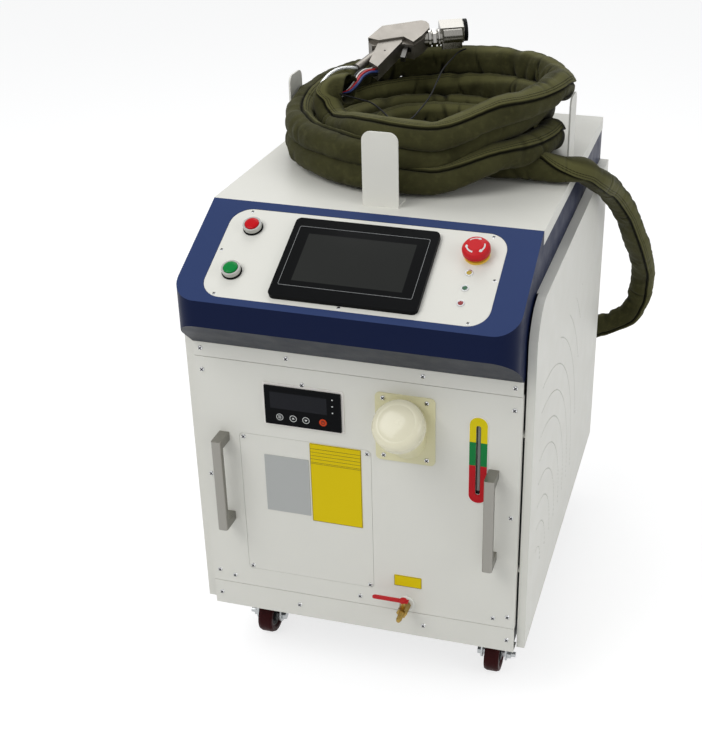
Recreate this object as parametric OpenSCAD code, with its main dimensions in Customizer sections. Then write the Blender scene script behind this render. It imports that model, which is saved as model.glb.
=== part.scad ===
// Cabinet laser welding machine with a hand gun, on four casters.
// X runs to the machine's right as seen from its front, Y runs to the back, Z runs up.
// The origin is on the floor, under the middle of the machine.

/* [Cabinet] */
// Width over the two side panels
cabinet_w = 580; // [560:1:600]
// How far the front panels stand in from the outside of each side panel
side_in = 17.5; // [16:0.5:20]
// Depth from the front panel's face to the rear panel's face
cabinet_d = 759; // [740:1:780]
// Height of the kick plate's lower edge above the floor
kick_z = 136.5; // [134:0.5:139]
// Height of the seam between kick plate and main panel
seam_z = 186; // [184:1:188]
// Height of the seam between main panel and upper strip
strip_z = 635; // [630:1:640]
// Height of the console's underside at the front panel
console_z = 661.5; // [661:0.5:664]
// Height of the top cover
cover_z = 862; // [855:1:870]
// Height of the turned-down edge round the top cover
cover_skirt = 24; // [18:1:30]
// Thickness of the folded sheet
sheet = 2; // [1.5:0.1:2]
// Height of the side panels' top flange
side_top_z = 778; // [760:1:790]
// Radius of the side panels' upper front corner
side_corner = 68; // [40:1:90]

/* [Console] */
// How far the console's lip stands in front of the front panel
lip_out = 66; // [55:1:70]
// Height of the lip's lower edge
lip_low_z = 722; // [715:1:730]
// Height of the lip's upper edge
lip_top_z = 766; // [760:1:772]
// Distance from the front panel's face back to the front edge of the top cover
cover_front = 123; // [115:1:130]
// Corner radius of the lip, seen from above
lip_round = 40; // [20:1:60]
// Thickness of the console shell
shell_t = 2.5; // [2:0.1:3]

/* [Top] */
// Height of the four upright hose brackets
bracket_h = 123.5; // [90:0.1:140]
// Width of a hose bracket
bracket_w = 60; // [40:1:70]
// Radius of the coil's centre line
coil_r = 242; // [238:1:246]
// Turns that the hose makes on the cover
coil_turns = 3.27; // [2.5:0.01:3.4]
// Width of the sleeved hose where it lies in the coil
sleeve_w = 48; // [40:1:48]
// Thickness of the sleeved hose where it lies in the coil
sleeve_h = 32; // [26:1:33]
// Diameter of the sleeved hose where it hangs free
hose_d = 44; // [36:1:46]

/* [Casters] */
// Radius of a caster wheel
wheel_r = 35.2; // [30:0.1:36]
// Width of a caster wheel
wheel_w = 27; // [22:1:30]
// Distance in from the outside of each side panel to the middle of each wheel
wheel_in = 72; // [65:1:90]
// Distance from the front panel's face back to the front wheels
wheel_y = 111; // [105:1:125]
// Distance between a front caster's swivel axis and its wheel axis
trail = 25; // [20:1:30]

/* [Gun] */
// Length of the gun's housing
gun_l = 120; // [112:1:124]

/* [Hidden] */
$fn = 64;

// Colours
cabinet_white = "#e9e9e6";
console_blue = "#2b4274";
frame_grey = "#8f9494";
plain_steel = "#c3c6c8";
chrome = "#d8dadc";
black = "#17181a";
cream = "#e8e4c6";
brass = "#b98b3a";
signal_red = "#c2202a";
signal_green = "#1f8a4c";
signal_yellow = "#e6c619";
tread_maroon = "#431517";
canvas_green = "#3f4527";
aluminium = "#b9babb";
inner_metal = "#a9adb0";

// Small shared values
overrun = 1;
panel_gap = 0.5;
running_gap = 0.05;
clearance = 0.3;
screw_r = 4.2;
screw_h = 2.2;
screw_shank_r = 2;
screw_shank = 10;
shank_gap = 0.2;

// The front-most point is the rim of the filler cap, the rear-most the end of the hose gland
cap_r = 42;
cap_round = 13;
cap_tilt = 45;
cap_out = 52.2;
reach_front = cap_out + (cap_r - 2 * cap_round) * sin(cap_tilt) + cap_round;
gland_l = 33;
reach_rear = cabinet_d + gland_l;
front_y = (reach_front - reach_rear) / 2;

// Frame tubes
front_w = cabinet_w - 2 * side_in;
tube = 25;
ring_h = 40;
ring_rise = 5.5;
frame_in = 2.5;
frame_x = front_w / 2 - frame_in;
ring_z = kick_z + ring_rise;
ring_top = ring_z + ring_h;
rear_in = 14;
rail_back = cabinet_d - rear_in;
mid_y = 130;
header_drop = 37;
header_z = strip_z - header_drop;
header_gap = 1.5;
header_top = console_z - header_gap;
front_rail_rise = 4.5;
front_rail_z = seam_z + front_rail_rise;
side_rail_z = 615;
top_rail_z = cover_z - sheet - tube;
channel_z = 102;
channel_w = 76;
channel_in = 28;
channel_x = cabinet_w / 2 - channel_in;
shelf_y = [230, 500];
tray_in = 26;
tray_x = frame_x - tray_in;
tray_y = [30, 716];

// Casters
wheel_x = cabinet_w / 2 - wheel_in;
swivel_y = wheel_y + trail;
rear_wheel_y = 640;
plate_w = 72;
plate_t = 4;
race_r = 24;
race_h = 8;
king_r = 6;
leg_in = 21;
leg_t = 3;
leg_eye = 13;
axle_r = 5;
nut_r = 9;
nut_h = 7;
bolt_end = 15;
fork_top_z = channel_z - plate_t - race_h - clearance;
fork_top_t = 4;
hub_r = 27;
rim_step = 2;
tread_round = 5;
tread_recess_r = 22;
pedal_y = 14;
pedal_drop = 14;
pedal_z = fork_top_z - pedal_drop;
pedal_pin_r = 3;
pedal_l = 38;
pedal_t = 5;
pedal_back = 6;

// Front panel fittings, as places across and up
access = [-203, 225, 25, 500];
access_round = 8;
ledge = 9;
controller = [-87.5, 564];
controller_face = [130, 70];
controller_hole = [122, 62];
controller_proud = 5;
controller_depth = 60;
window_size = [97, 30];
window_at = [-94.5, 574];
window_t = 1;
key_r = 6.4;
key_rise = 1;
key_z = 544;
key_xs = [-127, -104, -82, -53];
gauge_at = [204, 511];
gauge_size = [29, 158];
gauge_slot = [8, 129];
tube_r = 3.6;
filler_at = [84, 551];
filler_plate = [99, 123];
filler_round = 8;
plate_rise = 2.5;
neck_r = 33;
neck_hole_r = 24;
cap_h = 27.7;
cap_x = 85.2;
cap_z = 590.7;
drain_at = [83, 204];
grommet_r = 13;
grommet_t = 4;
valve_r = 7.5;
valve_l = 30;
valve_hex_r = 9.5;
barb_r = 5;
barb_tip_r = 3.5;
barbs = 4;
stem_out = 20;
stem_r = 3.5;
stem_top = 18;
lever_w = 9;
lever_t = 2;
lever_l = 50;
lever_back = 9;
lever_boss_r = 6.3;
handle_in = 42.5;
handle_x = front_w / 2 - handle_in;
handle_z = [324, 498];
handle_w = 17;
handle_bar = 10;
handle_out = 38;
handle_leg = 16;
handle_edge = 4;

// Screws: places across and up on the front
screw_dome_shares = [[0.85, 0.6], [0.45, 1]];
edge_screw_in = 12.5;
edge_screw_x = front_w / 2 - edge_screw_in;
inner_screw_x = 113;
strip_screw_z = 650;
kick_screw_z = 161;
main_screw_zs = [611, 411, 210];
main_top_screw = [-88, 606];
main_low_screws = [[-232, 203], [0, 203], [235, 203]];
access_screws = [[-196, 494], [19, 494], [-196, 231], [19, 231]];
filler_screws = [[48, 604], [120, 604], [48, 499], [120, 499]];

// The cover stands a little over the rear panel's and the frame's sides
cover_over = 1;
cover_w = front_w + cover_over;

// Console face: distances across and up the slope from the lip's edge
face_rise = cover_z - lip_top_z;
face_run = cover_front + lip_out;
face_tilt = atan2(face_rise, face_run);
face_l = norm([face_rise, face_run]);
under_rise = lip_low_z - console_z;
under_l = norm([under_rise, lip_out]);
inset_plate = [-229, 13, 224, 196];
inset_round = 34;
inset_depth = 1.6;
inset_sink = 0.4;
screen = [-118, 22, 117, 182];
screen_round = 9;
screen_proud = 8;
screen_hole = [-104, 36, 103, 168];
screen_body_depth = 30;
glass = [-106, 46, 103, 163];
glass_t = 1.5;
red_at = [-186, 156];
green_at = [-190, 64];
button_cap_r = 11.6;
button_rise = 7;
button_travel = 3;
button_edge = 1.5;
collar_r = 14.8;
collar_h = 4.5;
button_stem_r = 8;
button_depth = 20;
stop_at = [180, 150];
stop_base_r = 20;
stop_base_h = 4;
stop_neck_r = 14;
stop_neck_h = 9;
stop_cap_r = 22;
stop_cap_h = 14;
stop_round = 6;
stop_travel = 4;
stop_skirt = 4.6;
lamp_x = 176;
lamp_ss = [113, 83, 54];
lamp_r = 4.2;
lamp_ring_r = 6.3;
lamp_ring_h = 1.6;
lamp_rise = 3;
plate_screws = [[-198, 190], [-222, 106], [-204, 19], [-4, 19], [195, 19], [217, 104], [198, 189]];
plate_screw_r = 2.8;

// Side panels: a skin with rows of short slots on arcs round the field's lower front corner
side_front = 9;
side_back = 755;
side_low_z = 142;
side_depth = 14;
stud_r = 6;
stud_at = [[18, 300], [18, 560], [732, 300], [732, 560]];
corner_steps = 12;
vent_field = [77, 251, 475, 627];
vent_pitch = 45.4;
vent_arcs = 12;
vent_l = 6;
vent_w = 1.8;
vent_step = 11;
vent_margin = 6;

// Rear panel: a field of slots in front of the fan, and the switch's hole
rear_t = 2;
rear_low_z = 142;
rear_slot = [44, 4];
rear_slot_pitch = [56, 11];
rear_slot_field = [4, 22];
rear_slot_at = [-150, 330];
gland_at = [215, 330];
gland_r = 29;
gland_hole_r = 22.5;
gland_flange_r = 36;
gland_flange_t = 5;
power_gland_at = [120, 215];
power_gland_r = 14;
power_neck_r = 11.2;
power_gland_l = 22;
power_hole_r = 7;
gas_at = [190, 215];
gas_r = 6;
gas_nut_r = 9;
gas_l = 18;
switch_at = [-170, 640];
switch_disc_r = 27;
switch_plate_t = 6;
switch_shaft_r = 5;
switch_handle = [50, 16, 20];

// Hose brackets
bracket_round = 15;
bracket_t = 3;
bracket_foot = 40;
bracket_ribs = [26, 13, 0];
bracket_rib_h = 75;
bracket_rib_t = 3;
coil_y = 462;
bracket_front = 30;
bracket_side_in = 16.5;
bracket_side = front_w / 2 - bracket_side_in;
bracket_rear = cabinet_d - rear_in;

// Coil: measured in turns from where the inner turn has come round to the lead-in and climbs over it
coil_start = -45;
coil_inner_r = 190;
inner_turns = 0.83;
inner_pitch = 110;
inner_hold = 0.71;
coil_rest = bracket_t + clearance;
coil_pitch = 36.5;
coil_first = 1.125;
coil_swell = 44.4;
swell_hold = 0.8;
coil_lean = 1.3;
cross_lift = 34;
pinch = 13;
pinch_power = 8;
rings_a_turn = 24;
coil_sides = 6;
lead_rings = 9;
lead_in = [262, 350];
lead_bend = [67.6, 328];
mouth_from = 3.05;
mouth_r = 180;
mouth_fall = 36;
mouth_power = 3;
waist_turn = 1.875;
waist_span = 0.4;
waist_in = 34;
rise_from = 0.45;
rise_to = 1.05;
cross_middle = 0.5;
cross_full = [0.9, 1];
cross_ramp = 0.085;

// Route of the free stretch, from the gland on the rear panel up to the cover's edge
drop_sides = 12;
drop_route = [
    [215, 792, 330], [215, 838, 330], [230, 874, 331], [262, 902, 334], [306, 915, 346],
    [340, 916, 370], [357, 911, 410], [364, 898, 460], [366, 868, 506], [363, 826, 548],
    [352, 765, 616], [336, 692, 694], [318, 612, 760], [314, 530, 802], [311, 455, 834],
    [304, 400, 862], [288, 367, 883], [262, 350, 884.5]
];

// Gun: a flat pistol shape lying on its side across the coil, its outlines as shares of its length
gun_rise = 168;
gun_at = [-113, 594, cover_z + gun_rise];
gun_turn = [19, -3, 23];
gun_t = 38;
lid_t = 8;
lid_shares = [
    [-0.358, 0.033], [-0.2, -0.058], [0.1, -0.017], [0.192, -0.008], [0.325, -0.175], [0.483, -0.013],
    [0.633, 0.192], [0.638, 0.3], [0.605, 0.38], [0.533, 0.421], [-0.1, 0.342]
];
housing_shares = [
    [-0.358, 0.017], [-0.317, -0.1], [-0.142, -0.117], [0.183, -0.117], [0.333, -0.183], [0.5, -0.017],
    [0.633, 0.183], [0.638, 0.3], [0.533, 0.417], [-0.067, 0.35]
];
grip_shares = [[-0.167, 0.05], [0.167, -0.017], [0.158, -0.092], [-0.3, -0.733], [-0.408, -0.575]];
grip_t = 30;
grip_low = -34;
neck_at = [58, 16];
neck_rad = 13;
neck_l = 40;
block_low = [95, 10, -30];
block_high = [140, 40, 4];
band_r = 14;
band_in = 5;
band_z = -12;
nose_r = 18;
nose_l = 6;
nozzle_r = 6;
trigger_pin = [27, -9];
trigger_pin_r = 2;
trigger_pin_l = 20;
trigger_eye = 5;
blade_shares = [[0.188, -0.075], [0.263, -0.075], [0.158, -0.417], [0.092, -0.392]];
pocket_shares = [[0.15, -0.017], [0.292, -0.017], [0.292, -0.2], [0.083, -0.2], [0.142, -0.125]];
trigger_t = 10;
trigger_low = -24;
fitting_at = [-24, -14];
fitting_turn = -43;
fitting_r = 8;
fitting_l = 70;
lead_r = 8;
lead_sides = 8;
lead_route = [[-140, 375, 122], [-131, 410, 126], [-129, 450, 130], [-127, 490, 127], [-123, 515, 122]];

// Works inside the cabinet, as low and high corners
works_in = 30;
works_x = frame_x - works_in;
shelf_drop = 222;
shelf_z = cover_z - shelf_drop;
shelf_t = 4;
source_in = 25;
source_y = 175;
source_back = 104;
source_h = 126;
source_low = [source_in - works_x, source_y, shelf_z + shelf_t];
source_high = [works_x - source_in, cabinet_d - source_back, shelf_z + shelf_t + source_h];
tank_low = [5, 70, ring_top + sheet];
tank_in = 18;
tank_back = 225;
tank_gap = 35;
tank_high = [works_x - tank_in, tank_back, shelf_z - tank_gap];
condenser_back = 199;
condenser_front = 149;
condenser_right = -50;
condenser_gap = 50;
condenser_low = [-works_x, cabinet_d - condenser_back, ring_top + sheet];
condenser_high = [condenser_right, cabinet_d - condenser_front, shelf_z - condenser_gap];
fan_back = 69;
fan_at = [-145, cabinet_d - fan_back, 390];
fan_r = 82;
fan_hub_r = 26;
fan_w = 24;
fan_blades = 7;
blade_t = 3;
blade_w = 33.6;
blade_pitch = 28;
motor_r = 24;
motor_l = 40;
shaft_r = 4;
compressor_at = [-120, 390];
compressor_r = 62;
compressor_h = 210;
pump_at = [90, 340];
pump_size = [110, 170, 100];
pump_motor_r = 38;
supply_in = 5;
supply_y = 60;
supply_low = [supply_in - works_x, supply_y, ring_top + sheet];
supply_high = [-120, 270, 290];
fin_pitch = 20;
fin_cut = 8;

// Shared shapes

// Moves a piece from front-panel distances to the machine's own origin
module placed() translate([0, front_y, 0]) children();

// A box between two corners
module block(low, high) translate(low) cube(high - low);

// A flat outline in X and Z, built forwards from the plane y with thickness t
module on_front(y, t) translate([0, y, 0]) rotate([90, 0, 0]) linear_extrude(t) children();

// Everything on the console's sloped face: x across, y up the slope, z off the face
module on_face() placed() translate([0, -lip_out, lip_top_z]) rotate([face_tilt, 0, 0]) children();

// A rectangle with round corners between two places
module round_rect(low, high, r) {
    translate([low.x + r, low.y]) square([high.x - low.x - 2 * r, high.y - low.y]);
    translate([low.x, low.y + r]) square([high.x - low.x, high.y - low.y - 2 * r]);
    for (x = [low.x + r, high.x - r], y = [low.y + r, high.y - r])
        translate([x, y]) circle(r);
}

// The two opposite corners of a rectangle round a middle
function corner_low(at, size) = at - size / 2;
function corner_high(at, size) = at + size / 2;

// A piece and its mirror image
module both_sides() {
    children();
    mirror([1, 0, 0]) children();
}

// A closed tube of oval rings: centres, side vectors, up vectors, half widths and sides
function ring_points(centre, side, up, a, b, sides) =
    [for (k = [0 : sides - 1]) centre + side * a * cos(360 * k / sides) + up * b * sin(360 * k / sides)];
function ring_faces(count, sides) =
    [for (i = [0 : count - 2], k = [0 : sides - 1])
        [i * sides + k, i * sides + (k + 1) % sides, (i + 1) * sides + (k + 1) % sides, (i + 1) * sides + k]];
function end_faces(count, sides) =
    [[for (k = [0 : sides - 1]) sides - 1 - k], [for (k = [0 : sides - 1]) (count - 1) * sides + k]];
function unit(v) = v / norm(v);
function tangent(p, i) = unit(p[min(i + 1, len(p) - 1)] - p[max(i - 1, 0)]);

// Side vectors carried along a route without twist
function carried(p, first, i = 0, sofar = []) =
    i == len(p) ? sofar :
    let (t = tangent(p, i))
    let (last = i == 0 ? first : sofar[i - 1])
    carried(p, first, i + 1, concat(sofar, [unit(last - t * (last * t))]));

module round_tube(p, r, sides, first) {
    sides_out = carried(p, first);
    points = [for (i = [0 : len(p) - 1]) each
        ring_points(p[i], sides_out[i], cross(tangent(p, i), sides_out[i]), r, r, sides)];
    polyhedron(points, concat(ring_faces(len(p), sides), end_faces(len(p), sides)));
}

// Frame

module base_frame() color(frame_grey) placed() difference() {
    union() {
        block([-frame_x, sheet, ring_z], [frame_x, sheet + tube, ring_top]);
        block([-frame_x, rail_back - tube, ring_z], [frame_x, rail_back, ring_top]);
        both_sides() block([frame_x - tube, sheet, ring_z], [frame_x, rail_back, ring_top]);
        for (y = shelf_y) block([-frame_x, y, ring_z], [frame_x, y + tube, ring_top]);
    }
    front_screw_holes();
}

module frame_posts() color(frame_grey) placed() difference() {
    both_sides() {
        block([frame_x - tube, sheet, ring_top], [frame_x, sheet + tube, header_z]);
        block([frame_x - tube, mid_y, ring_top], [frame_x, mid_y + tube, top_rail_z]);
        block([frame_x - tube, rail_back - tube, ring_top], [frame_x, rail_back, top_rail_z]);
    }
    front_screw_holes();
}

module top_rails() color(frame_grey) placed() {
    for (y = [mid_y, rail_back - tube])
        block([-frame_x, y, top_rail_z], [frame_x, y + tube, top_rail_z + tube]);
    both_sides() block([frame_x - tube, mid_y, top_rail_z], [frame_x, rail_back, top_rail_z + tube]);
}

module side_rails() color(frame_grey) placed() difference() {
    union() {
        block([-frame_x, sheet, header_z], [frame_x, sheet + tube, header_top]);
        both_sides() block([frame_x - tube, sheet + tube, header_z], [frame_x, mid_y, header_z + tube]);
        both_sides() block([frame_x - tube, mid_y + tube, side_rail_z],
                           [frame_x, rail_back - tube, side_rail_z + tube]);
        block([tube - frame_x, sheet, front_rail_z], [frame_x - tube, sheet + tube, front_rail_z + tube]);
    }
    front_screw_holes();
    on_front(2 * tube, 2 * tube) translate(drain_at) circle(valve_r + clearance);
}

module caster_channels() color(frame_grey) placed() for (y = [swivel_y, rear_wheel_y])
    difference() {
        block([-channel_x, y - channel_w / 2, channel_z], [channel_x, y + channel_w / 2, ring_z]);
        block([-channel_x - overrun, y - channel_w / 2 + plate_t, channel_z + plate_t],
              [channel_x + overrun, y + channel_w / 2 - plate_t, ring_z + overrun]);
    }

module equipment_tray() color(frame_grey) placed()
    block([-tray_x, tray_y[0], ring_top], [tray_x, tray_y[1], ring_top + sheet]);

// Front panels

module access_hole() round_rect([access[0], access[1]], [access[2], access[3]], access_round);

module gauge_opening() round_rect(
    corner_low(gauge_at, gauge_slot), corner_high(gauge_at, gauge_slot), gauge_slot.x / 2 - clearance);

module front_screw_holes() on_front(screw_shank, screw_shank + overrun)
    for (at = concat(strip_and_kick_screws(), main_screws(), filler_screws))
        translate(at) circle(screw_shank_r + shank_gap, $fn = 24);

function strip_and_kick_screws() =
    [for (x = [-edge_screw_x, -inner_screw_x, inner_screw_x, edge_screw_x],
          z = [strip_screw_z, kick_screw_z]) [x, z]];
function main_screws() = concat(
    [for (x = [-edge_screw_x, edge_screw_x], z = main_screw_zs) [x, z]],
    [main_top_screw], main_low_screws);

module front_panel() color(cabinet_white) placed() difference() {
    union() {
        on_front(sheet, sheet) translate([-front_w / 2, seam_z + panel_gap])
            square([front_w, strip_z - seam_z - 2 * panel_gap]);
        on_front(2 * sheet, sheet) intersection() {
            round_rect([access[0] - ledge, access[1] - ledge],
                       [access[2] + ledge, access[3] + ledge], access_round);
            translate([-front_w / 2, seam_z + panel_gap]) square([front_w, strip_z - seam_z]);
        }
        both_sides() block([front_w / 2 - sheet, 0, seam_z + panel_gap],
                           [front_w / 2, screw_shank + sheet, strip_z - panel_gap]);
    }
    on_front(sheet, sheet + overrun) round_rect(
        [access[0] - panel_gap, access[1] - panel_gap],
        [access[2] + panel_gap, access[3] + panel_gap], access_round);
    on_front(3 * sheet, 3 * sheet + overrun) round_rect(
        [access[0] + ledge, access[1] + ledge], [access[2] - ledge, access[3] - ledge], access_round);
    on_front(3 * sheet, 3 * sheet + overrun) {
        translate(corner_low(controller, controller_hole)) square(controller_hole);
        translate(filler_at) circle(neck_hole_r);
        translate(drain_at) circle(valve_r + clearance);
        gauge_opening();
        for (at = concat(main_screws(), access_screws, filler_screws))
            translate(at) circle(screw_shank_r + shank_gap, $fn = 24);
    }
}

module access_panel() color(cabinet_white) placed() difference() {
    on_front(sheet, sheet) access_hole();
    on_front(sheet + overrun, sheet + 2 * overrun) for (at = access_screws)
        translate(at) circle(screw_shank_r + shank_gap, $fn = 24);
}

module upper_strip() color(cabinet_white) placed() difference() {
    on_front(sheet, sheet) translate([-front_w / 2, strip_z + panel_gap])
        square([front_w, console_z - strip_z - 2 * panel_gap]);
    front_screw_holes();
}

module kick_plate() color(cabinet_white) placed() difference() {
    union() {
        on_front(sheet, sheet) translate([-front_w / 2, kick_z])
            square([front_w, seam_z - kick_z - panel_gap]);
        block([-front_w / 2, 0, kick_z], [front_w / 2, tube, kick_z + sheet]);
    }
    front_screw_holes();
}

// Side panels

function corner_arc(cy, cz, r) =
    [for (k = [0 : corner_steps]) [cy - r * cos(90 * k / corner_steps), cz + r * sin(90 * k / corner_steps)]];
function side_outline(inset) = concat(
    [[side_back - inset, side_top_z - inset], [side_back - inset, side_low_z + inset],
     [side_front + inset, side_low_z + inset]],
    corner_arc(side_front + side_corner, side_top_z - side_corner, side_corner - inset));

// Corners of one slot, turned to follow its arc
function slot_corners(r, a) = [for (s = [[-1, -1], [1, -1], [1, 1], [-1, 1]])
    let (out = r + s.y * vent_w / 2)
    let (along = s.x * vent_l / 2)
    [vent_field[0] + out * cos(a) - along * sin(a), vent_field[1] + out * sin(a) + along * cos(a)]];
function in_field(p) =
    p.x >= vent_field[0] - vent_margin && p.x <= vent_field[2] && p.y >= vent_field[1] - vent_margin
    && p.y <= vent_field[3];
function vent_slots() = [for (n = [1 : vent_arcs])
    let (r = n * vent_pitch)
    let (count = floor(r * PI / 2 / vent_step))
    for (k = [0 : count])
        let (a = 90 * k / count)
        let (middle = [vent_field[0] + r * cos(a), vent_field[1] + r * sin(a)])
        if (in_field(middle)) slot_corners(r, a)];

module side_skin() {
    rim = side_outline(0);
    slots = vent_slots();
    points = concat(rim, [for (slot = slots) each slot]);
    paths = concat([[for (i = [0 : len(rim) - 1]) i]],
        [for (s = [0 : len(slots) - 1]) [for (k = [0 : 3]) len(rim) + 4 * s + k]]);
    linear_extrude(sheet) polygon(points, paths);
}

module side_flange() {
    rim = side_outline(0);
    inner = side_outline(sheet);
    count = len(rim);
    linear_extrude(side_depth) polygon(concat(rim, inner),
        [[for (i = [0 : count - 1]) i], [for (i = [0 : count - 1]) count + i]]);
}

module side_panel() placed() translate([cabinet_w / 2, 0, 0]) rotate([90, 0, 90]) mirror([0, 0, 1]) {
    side_skin();
    side_flange();
    for (at = stud_at) translate(at) cylinder(r = stud_r, h = cabinet_w / 2 - frame_x);
    translate([side_front + side_corner, side_top_z - sheet])
        cube([side_back - side_front - side_corner, sheet, cabinet_w / 2 - front_w / 2 - panel_gap]);
}
module side_panel_right() color(cabinet_white) side_panel();
module side_panel_left() color(cabinet_white) mirror([1, 0, 0]) side_panel();

// Rear panel and top cover

module rear_panel() color(cabinet_white) placed() difference() {
    block([-front_w / 2, cabinet_d - rear_t, rear_low_z],
          [front_w / 2, cabinet_d, cover_z - cover_skirt - panel_gap]);
    on_front(cabinet_d + overrun, rear_t + 2 * overrun) {
        for (i = [0 : rear_slot_field[0] - 1], k = [0 : rear_slot_field[1] - 1])
            translate(rear_slot_at - rear_slot / 2
                      + [(i - (rear_slot_field[0] - 1) / 2) * rear_slot_pitch[0], k * rear_slot_pitch[1]])
                square(rear_slot);
        translate(gland_at) circle(gland_hole_r);
        translate(power_gland_at) circle(power_hole_r);
        translate(gas_at) circle(gas_r + clearance);
        translate(switch_at) circle(switch_shaft_r + running_gap);
    }
}

module top_cover() color(cabinet_white) placed() difference() {
    block([-cover_w / 2, cover_front, cover_z - cover_skirt], [cover_w / 2, cabinet_d + sheet, cover_z]);
    block([-cover_w / 2 + sheet, cover_front + sheet, cover_z - cover_skirt - overrun],
          [cover_w / 2 - sheet, cabinet_d, cover_z - sheet]);
}

// Console

function console_profile() = [
    [0, console_z], [-lip_out, lip_low_z], [-lip_out, lip_top_z], [cover_front, cover_z],
    [cover_front, cover_z - cover_skirt - panel_gap], [cabinet_d - rear_t, cover_z - cover_skirt - panel_gap],
    [cabinet_d - rear_t, console_z]];
function hollow_profile() = [
    [shell_t * under_l / under_rise, console_z - overrun],
    [shell_t * under_l / under_rise, console_z],
    [shell_t - lip_out, console_z + (lip_out - shell_t) * under_rise / lip_out + shell_t * under_l / lip_out],
    [shell_t - lip_out, lip_top_z + shell_t * face_rise / face_run - shell_t * face_l / face_run],
    [cover_front + overrun, cover_z - shell_t * face_l / face_run + overrun * face_rise / face_run],
    [cabinet_d, cover_z], [cabinet_d, console_z - overrun]];

module along_x(w) translate([-w / 2, 0, 0]) rotate([90, 0, 90]) linear_extrude(w) children();

module lip_plan(inset) {
    x = front_w / 2 - inset;
    r = lip_round - inset;
    y = -lip_out + inset;
    translate([-x, y + r]) square([2 * x, cabinet_d + lip_out]);
    translate([-x + r, y]) square([2 * x - 2 * r, r]);
    for (cx = [-x + r, x - r]) translate([cx, y + r]) circle(r);
}

module console_body(inset) intersection() {
    along_x(front_w - 2 * inset) children();
    linear_extrude(cover_z + overrun) lip_plan(inset);
}

module console_shell() color(console_blue) difference() {
    placed() difference() {
        console_body(0) polygon(console_profile());
        console_body(sheet) polygon(hollow_profile());
    }
    on_face() translate([0, 0, -inset_depth - inset_sink]) linear_extrude(inset_depth + inset_sink + overrun)
        round_rect([inset_plate[0], inset_plate[1]], [inset_plate[2], inset_plate[3]], inset_round);
    on_face() translate([0, 0, -shell_t - overrun]) linear_extrude(shell_t + 2 * overrun) face_holes();
}

module face_holes() {
    translate([screen_hole[0], screen_hole[1]])
        square([screen_hole[2] - screen_hole[0], screen_hole[3] - screen_hole[1]]);
    for (at = [red_at, green_at, stop_at]) translate(at) circle(button_stem_r + clearance);
    for (s = lamp_ss) translate([lamp_x, s]) circle(lamp_r + running_gap);
    for (at = plate_screws) translate(at) circle(screw_shank_r + shank_gap, $fn = 24);
}

module console_plate() color(cabinet_white) on_face() translate([0, 0, -inset_depth - inset_sink])
    linear_extrude(inset_depth) difference() {
        round_rect([inset_plate[0] + clearance, inset_plate[1] + clearance],
                   [inset_plate[2] - clearance, inset_plate[3] - clearance], inset_round);
        face_holes();
    }

module screen_bezel() color(black) on_face() translate([0, 0, -inset_sink]) difference() {
    union() {
        linear_extrude(screen_proud) round_rect([screen[0], screen[1]], [screen[2], screen[3]], screen_round);
        translate([screen_hole[0] + clearance, screen_hole[1] + clearance, -screen_body_depth])
            cube([screen_hole[2] - screen_hole[0] - 2 * clearance,
                  screen_hole[3] - screen_hole[1] - 2 * clearance, screen_body_depth + overrun]);
    }
    translate([0, 0, screen_proud - glass_t]) linear_extrude(glass_t + overrun)
        round_rect([glass[0], glass[1]], [glass[2], glass[3]], button_edge);
}

module screen_glass() color(black) on_face() translate([0, 0, screen_proud - glass_t - inset_sink])
    linear_extrude(glass_t) round_rect([glass[0] + running_gap, glass[1] + running_gap],
                                       [glass[2] - running_gap, glass[3] - running_gap], button_edge);

// A turned control: rings of radius and height become one solid of revolution
module turned(profile) rotate_extrude() polygon(profile);

module push_button(tint, at) color(tint) on_face() translate([at.x, at.y, -inset_sink]) {
    turned([[0, button_travel + clearance], [button_cap_r, button_travel + clearance],
            [button_cap_r, button_rise - button_edge], [button_cap_r - button_edge, button_rise],
            [0, button_rise]]);
    translate([0, 0, -button_depth])
        cylinder(r = button_stem_r - clearance, h = button_depth + button_travel + 2 * clearance);
}
module red_button() push_button(signal_red, red_at);
module green_button() push_button(signal_green, green_at);

module control_rings() color(chrome) on_face() translate([0, 0, -inset_sink]) {
    for (at = [red_at, green_at]) translate(at) turned([
        [button_cap_r + running_gap, 0], [collar_r, 0], [collar_r, collar_h - button_edge],
        [collar_r - button_edge, collar_h], [button_cap_r + running_gap, collar_h]]);
    for (s = lamp_ss) translate([lamp_x, s]) turned([
        [lamp_r + running_gap, 0], [lamp_ring_r, 0], [lamp_ring_r - clearance, lamp_ring_h],
        [lamp_r + running_gap, lamp_ring_h]]);
}

module indicator_lamps() on_face() translate([0, 0, -inset_sink]) for (i = [0 : 2])
    color([signal_yellow, signal_green, signal_red][i]) translate([lamp_x, lamp_ss[i]]) turned([
        [0, -shell_t], [lamp_r, -shell_t], [lamp_r, lamp_rise - button_edge],
        [lamp_r - button_edge, lamp_rise], [0, lamp_rise]]);

module stop_base() color(signal_yellow) on_face() translate([stop_at.x, stop_at.y, -inset_sink])
    turned([[button_stem_r - clearance + running_gap, 0], [stop_base_r, 0], [stop_base_r, stop_base_h],
            [stop_neck_r, stop_base_h], [stop_neck_r, stop_neck_h],
            [button_stem_r - clearance + running_gap, stop_neck_h]]);

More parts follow.
